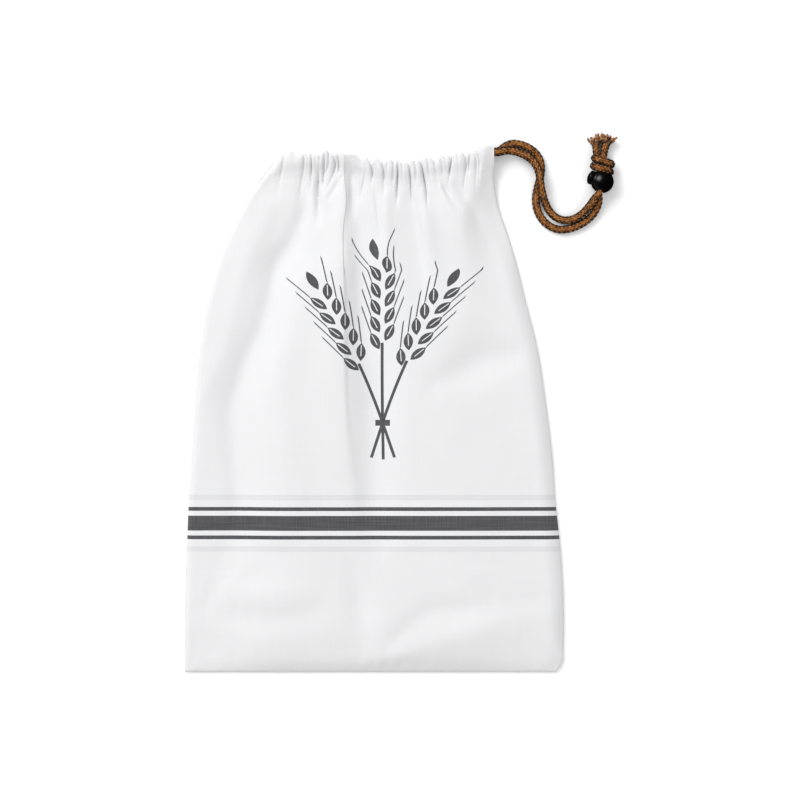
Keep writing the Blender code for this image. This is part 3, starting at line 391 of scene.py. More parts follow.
# The cord's two strands from the casing to the ball, as they lie: cord_over crosses over cord_under
CORD_RADIUS = 3.0
SQUEEZED_RADIUS = 2.4
route_rows = columns("x height z")
OVER_ROUTE = route_rows(
    (88.1, 383.1, 9.3), (92.2, 383.3, 9.3), (96.3, 384.4, 9.0), (101.6, 384.3, 7.4), (107.6, 382.8, 6.4),
    (112.6, 380.4, 6.6), (116.8, 376.8, 7.6), (119.6, 372.5, 8.8), (121.2, 367.8, 9.4), (122.0, 362.6, 9.5),
    (122.7, 357.6, 9.3), (124.1, 351.8, 7.9), (126.1, 345.8, 5.4), (128.9, 340.6, 3.6), (132.8, 336.4, 3.2),
    (137.4, 334.0, 3.5), (142.4, 333.5, 4.2), (147.3, 334.6, 4.9), (151.8, 337.1, 5.7), (155.8, 340.7, 6.8),
    (159.2, 345.0, 8.4), (162.3, 349.4, 10.2), (164.9, 352.2, 11.2),
)
UNDER_ROUTE = route_rows(
    (89.4, 384.3, 3.1), (92.8, 385.2, 3.1), (96.6, 388.2, 3.1), (101.0, 389.9, 3.1), (105.8, 389.8, 3.1),
    (110.6, 388.5, 3.1), (115.2, 386.1, 3.1), (119.2, 382.7, 3.1), (121.9, 378.2, 3.1), (123.0, 373.0, 3.1),
    (122.7, 367.6, 3.1), (121.5, 362.2, 3.1), (120.1, 356.8, 3.1), (119.2, 351.4, 3.1), (119.2, 345.8, 3.1),
    (120.4, 340.4, 3.1), (122.9, 335.4, 3.1), (126.6, 331.2, 3.1), (131.2, 328.2, 3.1), (136.6, 326.6, 3.1),
    (142.2, 326.9, 3.1), (147.6, 328.4, 3.1), (152.8, 330.8, 3.1), (157.6, 334.2, 3.1), (161.7, 338.5, 3.3),
    (164.4, 343.6, 3.9), (165.6, 348.6, 4.8), (165.9, 352.4, 5.4),
)
CORD_IN_CASING = 9.0  # how far inside the casing's open end each strand's mesh starts
ROUTE_STEP = 2.0
PATH_STEP = 1.0

# The lock and the knot on it
GAP = 0.3
BALL_RADIUS = 8.5
BALL_AT = (167.8, 361.7)
LOCK_ANGLE = math.radians(159)
HOLE_SHIFT = 0.8
HOLE_STOPS = (-0.92, -0.3, 0.3, 0.8)
HOLE_SIDES = 40
HOLE_REACH = 1.5  # how far its cutter reaches, in the ball's radii
BALL_SEGMENTS = 72
BALL_STEPS = 40
SOCKET_RADIUS = 5.5
SOCKET_FLOOR = 2.8
SOCKET_EDGE = ((0.0, -0.35), (0.1, -0.1), (0.35, -0.06))  # outward and up from the socket's rim
SOCKET_EDGE_ANGLE = 4.5
BUTTON_RADIUS = 5.2
BUTTON_INNER = 5.5
BUTTON_RIM = 9.9
BUTTON_TIP = 11.5
BUTTON_EDGE = 0.55
BUTTON_EDGE_TURN = (90, 28, 6)  # its arc, in degrees from the axis, and its steps
BUTTON_STEPS = 10
BUTTON_SEGMENTS = 64
KNOT_AT = (168.0, 373.9, 7.15)
KNOT_TILT = math.radians(8)  # on top of the wraps' own slope down to the right
WRAP_ACROSS = 6.4
WRAP_HIGH = 4.0
WRAP_CLIMB = 5.7  # from one turn to the next
WRAP_FROM = -0.45  # in half turns from the knot's right side
WRAP_TO = 3.35
WRAP_MIDDLE = 1.5
WRAP_STEPS = 90
WRAP_CORD = 3.0
WRAP_LAY = 20.0
tail_rows = columns("x height z radius")
LEFT_TAIL = tail_rows(
    (166.6, 371.4, 6.6, 2.4), (165.2, 376.4, 6.2, 2.5), (163.9, 380.8, 5.4, 2.6), (163.3, 385.4, 4.4, 2.6),
    (163.2, 389.2, 3.8, 2.8),
)
RIGHT_TAIL = tail_rows(
    (169.2, 371.4, 6.2, 2.5), (168.4, 376.4, 5.8, 2.7), (168.8, 381.0, 5.2, 3.0), (169.6, 385.6, 4.4, 3.1),
    (170.8, 389.8, 4.1, 3.4),
)
TAIL_LAY = 22.0

# The dome at the end of each tail, for its frayed yarns, in shares of the tail's radius
DOME_SIZE = 0.92
DOME_SINK = 0.75
DOME_SIDES = 16
DOME_LEANS = [math.radians(angle) for angle in (15, 30, 45)]

# What stands out from it: whole yarns, strands and fibres
fray_rows = columns("density shortest longest root tip sides crinkle")
FRAYS = fray_rows(
    (2.4e6, 3.4, 7.4, 0.98, 0.80, 8, 6.0), (2.4e6, 4.0, 8.0, 0.46, 0.30, 6, 8.0),
    (1.6e6, 3.0, 8.6, 0.12, 0.07, 3, 9.0),
)
FRAY_SIZES = ("Shortest", "Longest", "Crinkle", "Root", "Tip")
BRISTLE_POINTS = 8
BRISTLE_BENDS = 420.0
LOWEST_FRAY = 0.2

# The braid
BRAID_YARNS = 8  # turning each way
YARN_ROUNDNESS = 1.96  # how round its section is
YARN_RUN = 0.46 * math.pi  # how fast a yarn rises and dips along its way
YARN_SWING = 0.62  # and by what share of its height
TONE_SCATTER = (12.9898, 3.1, 43758.55)  # gives each yarn a tone of its own
BRAID_LAY = 25.0
BRAID_RELIEF = 0.7
BRAID_SIDES = 56
BRAID_STEP = 0.42

# Colours, from the darker to the lighter where there are two
COTTON_COLOURS = ((0.64, 0.64, 0.65), (0.69, 0.69, 0.697))
PALE_INK = (0.60, 0.60, 0.615)
DARK_INK = (0.060, 0.060, 0.065)
THREAD_COLOURS = ((0.65, 0.65, 0.67), (0.74, 0.74, 0.75))
# The braid's darker colour serves both for its darker yarns and for the painted shade in its grooves and on
# its sides
BRAID_COLOURS = ((0.005, 0.002, 0.001), (0.36, 0.136, 0.032))
# The frayed yarns' darker colour serves both for their darker patches and for the painted shade at their
# roots
FRAY_COLOURS = ((0.016, 0.005, 0.0015), (0.46, 0.21, 0.08))
PLASTIC_COLOURS = ((0.0006, 0.0006, 0.0008), (0.0014, 0.0014, 0.0018))
TABLE_COLOURS = ((0.975, 0.975, 0.975), (0.985, 0.985, 0.985))

# How the finishes vary: the scales of their noise, and how much each thing counts
TWIST_SCALE = 2600.0
LEAST_INK = 0.86
SLUB_INK = 0.12  # more ink on the slubs
WEAVE_RELIEF = 0.5
SLUB_RELIEF = 0.6
FIBRE_SCALE = 1400.0
FIBRE_LIGHT = 1.1
YARN_PATCH_SCALE = 230.0
YARN_PATCH_LIGHT = 1.2
# The braid's painted shade: its yarns' crowns are lighter than the grooves between them, and it is darker
# where it faces sideways or down
CROWN_POWER = 1.4
GROOVE_PAINTED_SHADE = 0.95
TONE_LIGHT = 0.5
SIDEWAYS_PAINTED_SHADE = 2.0
BRAID_DARK = 0.02
FRAY_PATCH_SCALE = 600.0
FRAY_PATCH_LIGHT = 3.6
# Painted shade: the frayed yarns are darker towards their roots, where they crowd together
FRAY_ROOT_PAINTED_SHADE = 0.8
FRAY_DARK = 0.18
HAZE_SCALE = 260.0
HAZE_ROUGHNESS = 0.10
PLASTIC_ROUGHNESS = 0.26
PLASTIC_GRAIN_SCALE = 1500.0
TABLE_GRAIN_SCALE = 30.0

# The photo's frame and its studio, whose sizes are in metres
PHOTO_SIZE = 800
MM_PER_PIXEL = 0.7368
PHOTO_MIDDLE = (18.8, 200.8)  # x and height
CAMERA_HEIGHT = 2.4
FOCUS_HEIGHT = 0.008  # the height that the photo's scale is right at
SENSOR = 36.0
ROOM_LIGHT = 0.50
ROOM_MIRRORED = 0.012  # what shiny things mirror of the room, which is dark but for its lamps
TABLE_HALF = 6.0
lamp_rows = columns("name at size power mirrored")
LAMPS = lamp_rows(
    ("soft top", (-2.4, 2.4, 4.8), 6.0, 88.0, False), ("fill", (3.2, -1.6, 4.4), 3.6, 96.0, False),
    ("key", (-3.3, 3.2, 3.8), 3.9, 275.0, True),
)


def place(point):
    """A point of the tables in the row frame, in metres."""
    return Vector((point[0], point[1] - BAG_LENGTH / 2, point[2])) * MM


def to_row_frame(mesh):
    """Brings a mesh from the tables' millimetres into the row frame."""
    bmesh.ops.translate(mesh, vec=(0, -BAG_LENGTH / 2, 0), verts=mesh.verts)
    bmesh.ops.scale(mesh, vec=(MM, MM, MM), verts=mesh.verts)


def smooth_between(at, knots, values):
    """Values between the knots on a cubic whose slope at a knot is that of its two neighbours."""
    at = np.clip(np.asarray(at, float), knots[0], knots[-1])
    knots = np.asarray(knots, float)
    values = np.asarray(values, float)
    slopes = np.gradient(values, knots)
    index = np.clip(np.searchsorted(knots, at, side="right") - 1, 0, len(knots) - 2)
    step = knots[index + 1] - knots[index]
    t = (at - knots[index]) / step
    start = (1 + 2 * t) * (1 - t) ** 2 * values[index] + t * (1 - t) ** 2 * step * slopes[index]
    end = t**2 * (3 - 2 * t) * values[index + 1] + t**2 * (t - 1) * step * slopes[index + 1]
    return start + end


def read_table(table, key, at, *names):
    """The named columns' values at the given places of the key column."""
    knots = [getattr(row, key) for row in table]
    return [smooth_between(at, knots, [getattr(row, name) for row in table]) for name in names]


def outline(row, *names):
    return read_table(SECTIONS, "height", row, *names)


def smooth_step(t):
    t = np.clip(t, 0.0, 1.0)
    return t * t * (3 - 2 * t)


def smooth_route(points, step):
    """Points a step apart on a smooth curve through the given ones, any further values read the same way."""
    table = np.array([tuple(p) for p in points], float)
    lengths = np.linalg.norm(np.diff(table[:, :3], axis=0), axis=1)
    along = np.concatenate([[0.0], np.cumsum(lengths)])
    at = np.linspace(0, along[-1], max(2, round(along[-1] / step)) + 1)
    return [tuple(p) for p in np.stack([smooth_between(at, along, column) for column in table.T], axis=1)]


# Objects


def add_object(name, data):
    obj = bpy.data.objects.new(name, data)
    bpy.context.scene.collection.objects.link(obj)
    return obj


def mesh_object(name, mesh, material=None, sharp=None):
    """An object of a bmesh, with its edges sharp from the given angle where there is one."""
    data = bpy.data.meshes.new(name)
    mesh.to_mesh(data)
    mesh.free()
    if material:
        data.materials.append(material)
    if sharp is not None:
        data.shade_smooth()
        data.set_sharp_from_angle(angle=sharp)
    return add_object(name, data)


def curve_object(name, points):
    """A poly curve through the points, each (x, height, z, radius) in millimetres."""
    curve = bpy.data.curves.new(name, "CURVE")
    curve.dimensions = "3D"
    spline = curve.splines.new("POLY")
    spline.points.add(len(points) - 1)
    for target, (x, height, z, radius) in zip(spline.points, points):
        target.co = (*place((x, height, z)), 1.0)
        target.radius = radius * MM
    return add_object(name, curve)


def join_meshes(name, parts):
    """One smooth object of all the parts' meshes, which have one material between them."""
    mesh = bmesh.new()
    material = parts[0].data.materials[0]
    for part in parts:
        mesh.from_mesh(part.data)
        bpy.data.objects.remove(part)
    joined = mesh_object(name, mesh, material)
    joined.data.shade_smooth()
    return joined


def keep_above(obj, lowest):
    for vertex in obj.data.vertices:
        vertex.co.z = max(vertex.co.z, lowest * MM)
    return obj


def evaluated_mesh(obj):
    graph = bpy.context.evaluated_depsgraph_get()
    return bpy.data.meshes.new_from_object(obj.evaluated_get(graph))


def apply_modifiers(obj):
    mesh = evaluated_mesh(obj)
    obj.modifiers.clear()
    obj.data = mesh


# Nodes, whose numbers are written as plain arithmetic


def set_inputs(tree, node, inputs):
    """Links or sets the node's inputs, each by its name or number."""
    for name, value in dict(inputs).items():
        value = value.socket if isinstance(value, Field) else value
        if isinstance(value, bpy.types.NodeSocket):
            tree.links.new(value, node.inputs[name])
        else:
            node.inputs[name].default_value = value


def node_outputs(tree, kind, inputs=(), **settings):
    """The outputs of a new node, after its settings are made and its inputs are linked or set."""
    node = tree.nodes.new(kind)
    for name, value in settings.items():
        setattr(node, name, value)
    set_inputs(tree, node, inputs)
    return node.outputs


class Field:
    """A number in a node tree, which plain arithmetic turns into Math nodes."""

    def __init__(self, tree, socket):
        self.tree = tree
        self.socket = socket

    def math(self, operation, *others, first=None):
        values = (self, *others) if first is None else (first, self)
        outputs = node_outputs(self.tree, "ShaderNodeMath", enumerate(values), operation=operation)
        return Field(self.tree, outputs[0])

    def __add__(self, other):
        return self.math("ADD", other)

    def __sub__(self, other):
        return self.math("SUBTRACT", other)

    def __rsub__(self, other):
        return self.math("SUBTRACT", first=other)

    def __mul__(self, other):
        return self.math("MULTIPLY", other)

    def __truediv__(self, other):
        return self.math("DIVIDE", other)

    def __lt__(self, other):
        return self.math("LESS_THAN", other)

    def __gt__(self, other):
        return self.math("GREATER_THAN", other)

    def between(self, low, high):
        """1 between the two values, and 0 elsewhere."""
        return (self > low) * (self < high)

    def clamped(self):
        return self.math("MINIMUM", 1.0).math("MAXIMUM", 0.0)


def noise_outputs(tree, where, scale, detail=2.0):
    return node_outputs(tree, "ShaderNodeTexNoise", {"Vector": where, "Scale": scale, "Detail": detail})


def modelling_tree(name, **inputs):
    """A Geometry Nodes tree for a geometry, with inputs of the given kinds, and the outputs of its inputs."""
    tree = bpy.data.node_groups.new(name, "GeometryNodeTree")
    for label, kind in (("Geometry", "Geometry"), *inputs.items()):
        tree.interface.new_socket(label, in_out="INPUT", socket_type=f"NodeSocket{kind}")
    tree.interface.new_socket("Geometry", in_out="OUTPUT", socket_type="NodeSocketGeometry")
    return tree, tree.nodes.new("NodeGroupInput").outputs


def end_tree(tree, geometry, material):
    """Gives the geometry its material and puts it out."""
    painted = node_outputs(tree, "GeometryNodeSetMaterial", {"Geometry": geometry, "Material": material})
    node_outputs(tree, "NodeGroupOutput", {"Geometry": painted[0]})
    return tree


def store(tree, geometry, name, value):
    inputs = {"Geometry": geometry, "Name": name, "Value": value}
    return node_outputs(tree, "GeometryNodeStoreNamedAttribute", inputs, data_type="FLOAT", domain="POINT")[0]


def stored(tree, name):
    outputs = node_outputs(tree, "GeometryNodeInputNamedAttribute", {"Name": name}, data_type="FLOAT")
    return Field(tree, outputs["Attribute"])


def on_spline(tree, name):
    return node_outputs(tree, "GeometryNodeSplineParameter")[name]


def round_profile(tree, sides):
    return node_outputs(tree, "GeometryNodeCurvePrimitiveCircle", {"Resolution": sides, "Radius": 1.0})[0]


def tube(tree, curve, profile, scale):
    inputs = {"Curve": curve, "Profile Curve": profile, "Scale": scale, "Fill Caps": True}
    return node_outputs(tree, "GeometryNodeCurveToMesh", inputs)[0]


def shifted(tree, geometry, direction, amount):
    """The geometry moved by the direction times the amount."""
    offset = node_outputs(tree, "ShaderNodeVectorMath", {0: direction, "Scale": amount}, operation="SCALE")[0]
    return node_outputs(tree, "GeometryNodeSetPosition", {"Geometry": geometry, "Offset": offset})[0]


def on_points(tree, points, instance, rotation, scale):
    """Real copies of the instance on the points."""
    inputs = {"Points": points, "Instance": instance, "Rotation": rotation, "Scale": scale}
    placed = node_outputs(tree, "GeometryNodeInstanceOnPoints", inputs)[0]
    return node_outputs(tree, "GeometryNodeRealizeInstances", {"Geometry": placed})[0]


def run_nodes(obj, tree, **values):
    """The tree's result on the object, as a plain mesh object of the same name."""
    modifier = obj.modifiers.new(tree.name, "NODES")
    modifier.node_group = tree
    for item in tree.interface.items_tree:
        if item.in_out == "INPUT" and item.name in values:
            modifier[item.identifier] = values[item.name]
    mesh = evaluated_mesh(obj)
    name = obj.name
    bpy.data.objects.remove(obj)
    mesh.name = name
    return add_object(name, mesh)


# The cord


def braid_fields(around, lays):
    """Height and tone of a round braid, each yarn passing over two and under two, from 0 to 1."""
    yarns = float(BRAID_YARNS)
    turns = lays * yarns
    one_way = around * yarns + turns
    other_way = around * yarns - turns
    one_yarn, other_yarn = ((way + 0.5).math("FLOOR") for way in (one_way, other_way))
    off_one = one_way - one_yarn
    off_other = other_way - other_yarn
    phase = (one_yarn + other_yarn).math("FLOORED_MODULO", 4.0)
    one_over = phase < 1.5

    def yarn_height(off, run):
        rounded = (1.0 - (off * YARN_ROUNDNESS).math("POWER", 2.0)).math("MAXIMUM", 0.0).math("SQRT")
        return rounded * ((run * YARN_RUN).math("COSINE") * YARN_SWING + (1.0 - YARN_SWING))

    one_height = yarn_height(off_one, off_other + (phase - 0.5))
    other_height = yarn_height(off_other, off_one + (phase - 2.5))
    height = one_over * one_height + (1.0 - one_over) * other_height
    first = one_yarn.math("FLOORED_MODULO", yarns)
    second = other_yarn.math("FLOORED_MODULO", yarns) + yarns
    yarn = one_over * first + (1.0 - one_over) * second
    factor, shift, spread = TONE_SCATTER
    return height, ((yarn * factor + shift).math("SINE") * spread).math("FRACT")


def braid_tree():
    """A round braid along a curve, as thick as the curve's radius."""
    inputs = {"Sides": "Int", "Step": "Float", "Lay": "Float", "Relief": "Float", "Material": "Material"}
    tree, given = modelling_tree("round braid", **inputs)
    spaced = {"Curve": given["Geometry"], "Length": given["Step"]}
    resampled = node_outputs(tree, "GeometryNodeResampleCurve", spaced, mode="LENGTH")[0]
    curve = store(tree, resampled, "along", on_spline(tree, "Length"))
    profile = store(tree, round_profile(tree, given["Sides"]), "around", on_spline(tree, "Factor"))
    plain = tube(tree, curve, profile, node_outputs(tree, "GeometryNodeInputRadius")[0])
    lays = stored(tree, "along") / Field(tree, given["Lay"])
    height, tone = braid_fields(stored(tree, "around"), lays)
    kept = store(tree, store(tree, plain, "crown", height), "tone", tone)
    sunk = (stored(tree, "crown") - 1.0) * Field(tree, given["Relief"])
    braid = shifted(tree, kept, node_outputs(tree, "GeometryNodeInputNormal")[0], sunk)
    return end_tree(tree, braid, given["Material"])


def make_braid(name, points, tree, material, lay=BRAID_LAY):
    sizes = {"Step": BRAID_STEP * MM, "Lay": lay * MM, "Relief": BRAID_RELIEF * MM}
    made = run_nodes(curve_object(name, points), tree, Sides=BRAID_SIDES, Material=material, **sizes)
    made.data.shade_smooth()
    return made


def lock_frame():
    """The lock's own axes: button, along the cord's hole, and the middle of the ball."""
    button = Vector((math.cos(LOCK_ANGLE), math.sin(LOCK_ANGLE), 0.0))
    hole = Vector((math.sin(LOCK_ANGLE), -math.cos(LOCK_ANGLE), 0.0))
    return button, hole, Vector((*BALL_AT, BALL_RADIUS))


def route_through_lock(route, lift):
    """The strand's points with their radii, from inside the casing's end, carried on through the ball."""
    button, hole, middle = lock_frame()
    centre = middle - button * HOLE_SHIFT + Vector((0, 0, lift))
    start = route[0]
    inside = [(start.x - CORD_IN_CASING / share, start.height, start.z) for share in (1, 2)]
    points = [(*p, CORD_RADIUS) for p in smooth_route([*inside, *route], ROUTE_STEP)[:-1]]
    points[-1] = (*points[-1][:3], 0.5 * (CORD_RADIUS + SQUEEZED_RADIUS))
    for along in HOLE_STOPS:
        points.append((*(centre + hole * BALL_RADIUS * along), SQUEEZED_RADIUS))
    return smooth_route(points, PATH_STEP)


def knot_wraps():
    """Two turns of cord round the knot: over its top from the right down to the left, and under it again."""
    points = []
    for k in range(WRAP_STEPS + 1):
        half_turns = WRAP_FROM + (WRAP_TO - WRAP_FROM) * k / WRAP_STEPS
        turn = math.pi * half_turns
        climb = WRAP_CLIMB * (half_turns - WRAP_MIDDLE) / 2
        off = Vector((WRAP_ACROSS * math.cos(turn), climb, WRAP_HIGH * math.sin(turn)))
        points.append((*(Vector(KNOT_AT) + Matrix.Rotation(-KNOT_TILT, 3, "Z") @ off), WRAP_CORD))
    return points


def make_knot(tree, material):
    """The knot's turns and the two tails that come out of it."""
    parts = [make_braid("wraps", knot_wraps(), tree, material, WRAP_LAY)]
    for name, tail in (("left tail", LEFT_TAIL), ("right tail", RIGHT_TAIL)):
        parts.append(make_braid(name, smooth_route(tail, PATH_STEP), tree, material, TAIL_LAY))
    return join_meshes("knot", parts)


def fray_tree():
    """Bristles that stand out from a small dome, each bent by noise towards its tip."""
    inputs = {name: "Float" for name in ("Density", "Shortest", "Longest", "Crinkle", "Root", "Tip")}
    tree, given = modelling_tree("frayed end", **inputs, Seed="Int", Sides="Int", Material="Material")
    scattered = {"Mesh": given["Geometry"], "Density": given["Density"], "Seed": given["Seed"]}
    points = node_outputs(tree, "GeometryNodeDistributePointsOnFaces", scattered)
    line = node_outputs(tree, "GeometryNodeCurvePrimitiveLine", {"Start": (0, 0, 0), "End": (0, 0, 1)})[0]
    stepped = node_outputs(tree, "GeometryNodeResampleCurve", {"Curve": line, "Count": BRISTLE_POINTS})[0]
    bristle = store(tree, stepped, "out", on_spline(tree, "Factor"))
    lengths = {"Min": given["Shortest"], "Max": given["Longest"], "Seed": given["Seed"]}
    length = node_outputs(tree, "FunctionNodeRandomValue", lengths, data_type="FLOAT")["Value"]
    standing = on_points(tree, points["Points"], bristle, points["Rotation"], length)
    where = node_outputs(tree, "GeometryNodeInputPosition")[0]
    bend = noise_outputs(tree, where, BRISTLE_BENDS, 1.0)["Color"]
    half = (0.5, 0.5, 0.5)
    centred = node_outputs(tree, "ShaderNodeVectorMath", {0: bend, 1: half}, operation="SUBTRACT")[0]
    out = stored(tree, "out")
    crinkled = shifted(tree, standing, centred, out * out * Field(tree, given["Crinkle"]))
    root = Field(tree, given["Root"])
    taper = root + (Field(tree, given["Tip"]) - root) * out
    return end_tree(tree, tube(tree, crinkled, round_profile(tree, given["Sides"]), taper), given["Material"])


def tail_dome(name, tail):
    """A shallow dome at the end of a tail, which the frayed yarns stand out from."""
    end = Vector(tail[-1][:3])
    ahead = (end - Vector(tail[-2][:3])).normalized()
    turn = ahead.to_track_quat("Z", "Y").to_matrix()
    radius = DOME_SIZE * tail[-1].radius
    middle = end - DOME_SINK * tail[-1].radius * ahead
    mesh = bmesh.new()
    rings = []
    for lean in DOME_LEANS:
        ring = []
        for k in range(DOME_SIDES):
            around = 2 * math.pi * k / DOME_SIDES
            out = Vector((math.cos(around), math.sin(around), 0.0)) * math.sin(lean)
            out.z = math.cos(lean)
            ring.append(mesh.verts.new(place(middle + radius * (turn @ out))))
        rings.append(ring)
    pole = mesh.verts.new(place(middle + radius * ahead))
    for k in range(DOME_SIDES):
        after = (k + 1) % DOME_SIDES
        mesh.faces.new((pole, rings[0][k], rings[0][after]))
        for inner, outer in zip(rings, rings[1:]):
            mesh.faces.new((inner[k], outer[k], outer[after], inner[after]))
    return mesh_object(name, mesh)


def make_frays(tree, material):
    """The yarns' ends and their finer fibres at both tails."""
    parts = []
    for tail, seed in ((LEFT_TAIL, 3), (RIGHT_TAIL, 8)):
        for fray in FRAYS:
            sizes = {name: getattr(fray, name.lower()) * MM for name in FRAY_SIZES}
            given = {"Density": fray.density, "Seed": seed, "Sides": fray.sides, "Material": material}
            given.update(sizes)
            parts.append(run_nodes(tail_dome("frayed tail", tail), tree, **given))
    return keep_above(join_meshes("frayed_ends", parts), LOWEST_FRAY)


# The lock


def turned(name, profile, segments, material):
    """A closed shape turned round the button's axis, from points of (radius, height on the axis)."""
    button, _, middle = lock_frame()
    mesh = bmesh.new()
    line = [mesh.verts.new((radius, 0, height)) for radius, height in profile]
    edges = [mesh.edges.new(pair) for pair in zip(line, line[1:])]
    whole_turn = {"angle": 2 * math.pi, "steps": segments, "use_merge": True}
    bmesh.ops.spin(mesh, geom=line + edges, axis=(0, 0, 1), cent=(0, 0, 0), **whole_turn)
    bmesh.ops.remove_doubles(mesh, verts=mesh.verts, dist=MERGE_WITHIN)
    bmesh.ops.recalc_face_normals(mesh, faces=mesh.faces)
    bmesh.ops.rotate(mesh, matrix=button.to_track_quat("Z", "Y").to_matrix(), verts=mesh.verts)
    bmesh.ops.translate(mesh, vec=middle, verts=mesh.verts)
    to_row_frame(mesh)
    return mesh_object(name, mesh, material, SHARP_FROM)


def arc(radius, start, end, steps, centre=(0.0, 0.0)):
    """Points on an arc, as (radius, height) pairs. Angles are from the axis, in degrees."""
    points = []
    for k in range(steps + 1):
        angle = math.radians(start + (end - start) * k / steps)
        points.append((centre[0] + radius * math.sin(angle), centre[1] + radius * math.cos(angle)))
    return points


def hole_cutter():
    """A bar with straight sides and round ends in its section, which the cord's hole is cut with."""
    button, hole, middle = lock_frame()
    cutter = bmesh.new()
    half_width = SQUEEZED_RADIUS + GAP
    straight = SQUEEZED_RADIUS + GAP / 2
    ring = []
    for k in range(HOLE_SIDES):
        turn = 2 * math.pi * (k + 0.5) / HOLE_SIDES
        lift = math.copysign(straight, math.sin(turn)) + half_width * math.sin(turn)
        side = half_width * math.cos(turn) - HOLE_SHIFT
        point = middle + button * side + Vector((0, 0, lift)) - hole * HOLE_REACH * BALL_RADIUS
        ring.append(cutter.verts.new(point))
    made = bmesh.ops.extrude_face_region(cutter, geom=[cutter.faces.new(ring)])
    moved = [v for v in made["geom"] if isinstance(v, bmesh.types.BMVert)]
    bmesh.ops.translate(cutter, vec=hole * (2 * HOLE_REACH) * BALL_RADIUS, verts=moved)
    bmesh.ops.recalc_face_normals(cutter, faces=cutter.faces)
    to_row_frame(cutter)
    return mesh_object("hole cutter", cutter)


def make_lock_ball(material):
    """The ball, with the socket for its button and the hole for its cord."""
    rim_angle = math.degrees(math.asin(SOCKET_RADIUS / BALL_RADIUS))
    rim_height = math.sqrt(BALL_RADIUS**2 - SOCKET_RADIUS**2)
    profile = [(0.0, SOCKET_FLOOR), (SOCKET_RADIUS, SOCKET_FLOOR)]
    profile += [(SOCKET_RADIUS + out, rim_height + up) for out, up in SOCKET_EDGE]
    profile += arc(BALL_RADIUS, rim_angle + SOCKET_EDGE_ANGLE, 180, BALL_STEPS)
    ball = turned("lock_ball", profile, BALL_SEGMENTS, material)
    tool = hole_cutter()
    cut = ball.modifiers.new("cord hole", "BOOLEAN")
    cut.operation = "DIFFERENCE"
    cut.object = tool
    apply_modifiers(ball)
    bpy.data.objects.remove(tool)
    ball.data.set_sharp_from_angle(angle=SHARP_FROM)
    return ball


def make_lock_button(material):
    """The button: a plunger with a rounded edge and a domed top."""
    low = BUTTON_RIM - BUTTON_EDGE
    profile = [(0.0, BUTTON_INNER), (BUTTON_RADIUS, BUTTON_INNER), (BUTTON_RADIUS, low)]
    profile += arc(BUTTON_EDGE, *BUTTON_EDGE_TURN, (BUTTON_RADIUS - BUTTON_EDGE, low))
    reach, dome_from = profile[-1]
    for k in range(1, BUTTON_STEPS + 1):
        share = 1 - k / BUTTON_STEPS
        profile.append((reach * share, BUTTON_TIP - (BUTTON_TIP - dome_from) * share**2))
    return turned("lock_button", profile, BUTTON_SEGMENTS, material)


# The bag's cloth


def crease_relief(x, row):
    """How far the creases between the gathers sink the cloth."""
    relief = np.zeros_like(x)
    for crease in CREASES:
        low = min(BELOW_SEAM, crease.end + CREASE_LOW)
        knots = (crease.end - CREASE_RUNOUT, low, SEAM_AT, CASING_MIDDLE, BAG_LENGTH)
        places = (crease.end_x, crease.low_x, crease.seam_x, crease.casing_x, crease.mouth_x)
        line = smooth_between(row, knots, places)
        below = np.clip((SEAM_AT - row) / (SEAM_AT - crease.end), 0, 1)
        depths = (crease.seam, crease.middle, crease.mouth)
        depth = smooth_between(row, (SEAM_AT, CASING_MIDDLE, BAG_LENGTH), depths) * (1 - smooth_step(below))
        spread = CREASE_SPREAD * crease.width * (1 + CREASE_WIDENS * below)
        width = spread * np.where(x < line, CREASE_LEFT, CREASE_RIGHT)
        broad = CREASE_SHARE * depth * np.exp(-np.abs(x - line) / width)
        narrow = np.exp(-(((x - line) / CORE_WIDTH) ** 2))
        relief = relief - broad - CREASE_CORE * np.maximum(depth - CORE_FROM, 0.0) * narrow
    return relief


def height_of(x, row):
    """The real height of a mesh row at x: the upper rows bend so that the last one is the mouth's edge."""
    bend = smooth_step((row - TOP_STRETCH_FROM) / (BAG_LENGTH - TOP_STRETCH_FROM))
    mouth = read_table(MOUTH, "x", x, "height")[0]
    rim = read_table(RIM, "x", x, "height")[0]
    lobes = (rim - mouth) * smooth_step((row - BAG_LENGTH + RIM_DEPTH) / RIM_DEPTH)
    return row + (mouth - BAG_LENGTH) * bend + lobes


def fold_relief(x, height, fold):
    """How far one fold lifts or sinks the cloth."""
    along = np.linspace(0, len(fold) - 1, FOLD_POINTS)
    index = np.arange(len(fold))
    names = fold[0]._fields
    line = np.array([smooth_between(along, index, [getattr(p, name) for p in fold]) for name in names]).T
    drawn_down = abs(fold[-1].height - fold[0].height) > abs(fold[-1].x - fold[0].x)
    sense = -1 if drawn_down else 1
    nearest = np.full(x.shape, np.inf)
    relief = np.zeros(x.shape)
    for start, end in zip(line, line[1:]):
        run = end[:2] - start[:2]
        offset_x = x - start[0]
        offset_y = height - start[1]
        t = np.clip((offset_x * run[0] + offset_y * run[1]) / (run @ run), 0, 1)
        away = np.hypot(offset_x - t * run[0], offset_y - t * run[1])
        side = run[0] * offset_y - run[1] * offset_x
        rise, left, right = (start[k] + t * (end[k] - start[k]) for k in (2, 3, 4))
        spread = np.where(side * sense > 0, left, right)
        closer = away < nearest
        relief = np.where(closer, rise * np.exp(-((away / spread) ** 2)), relief)
        nearest = np.where(closer, away, nearest)
    return relief


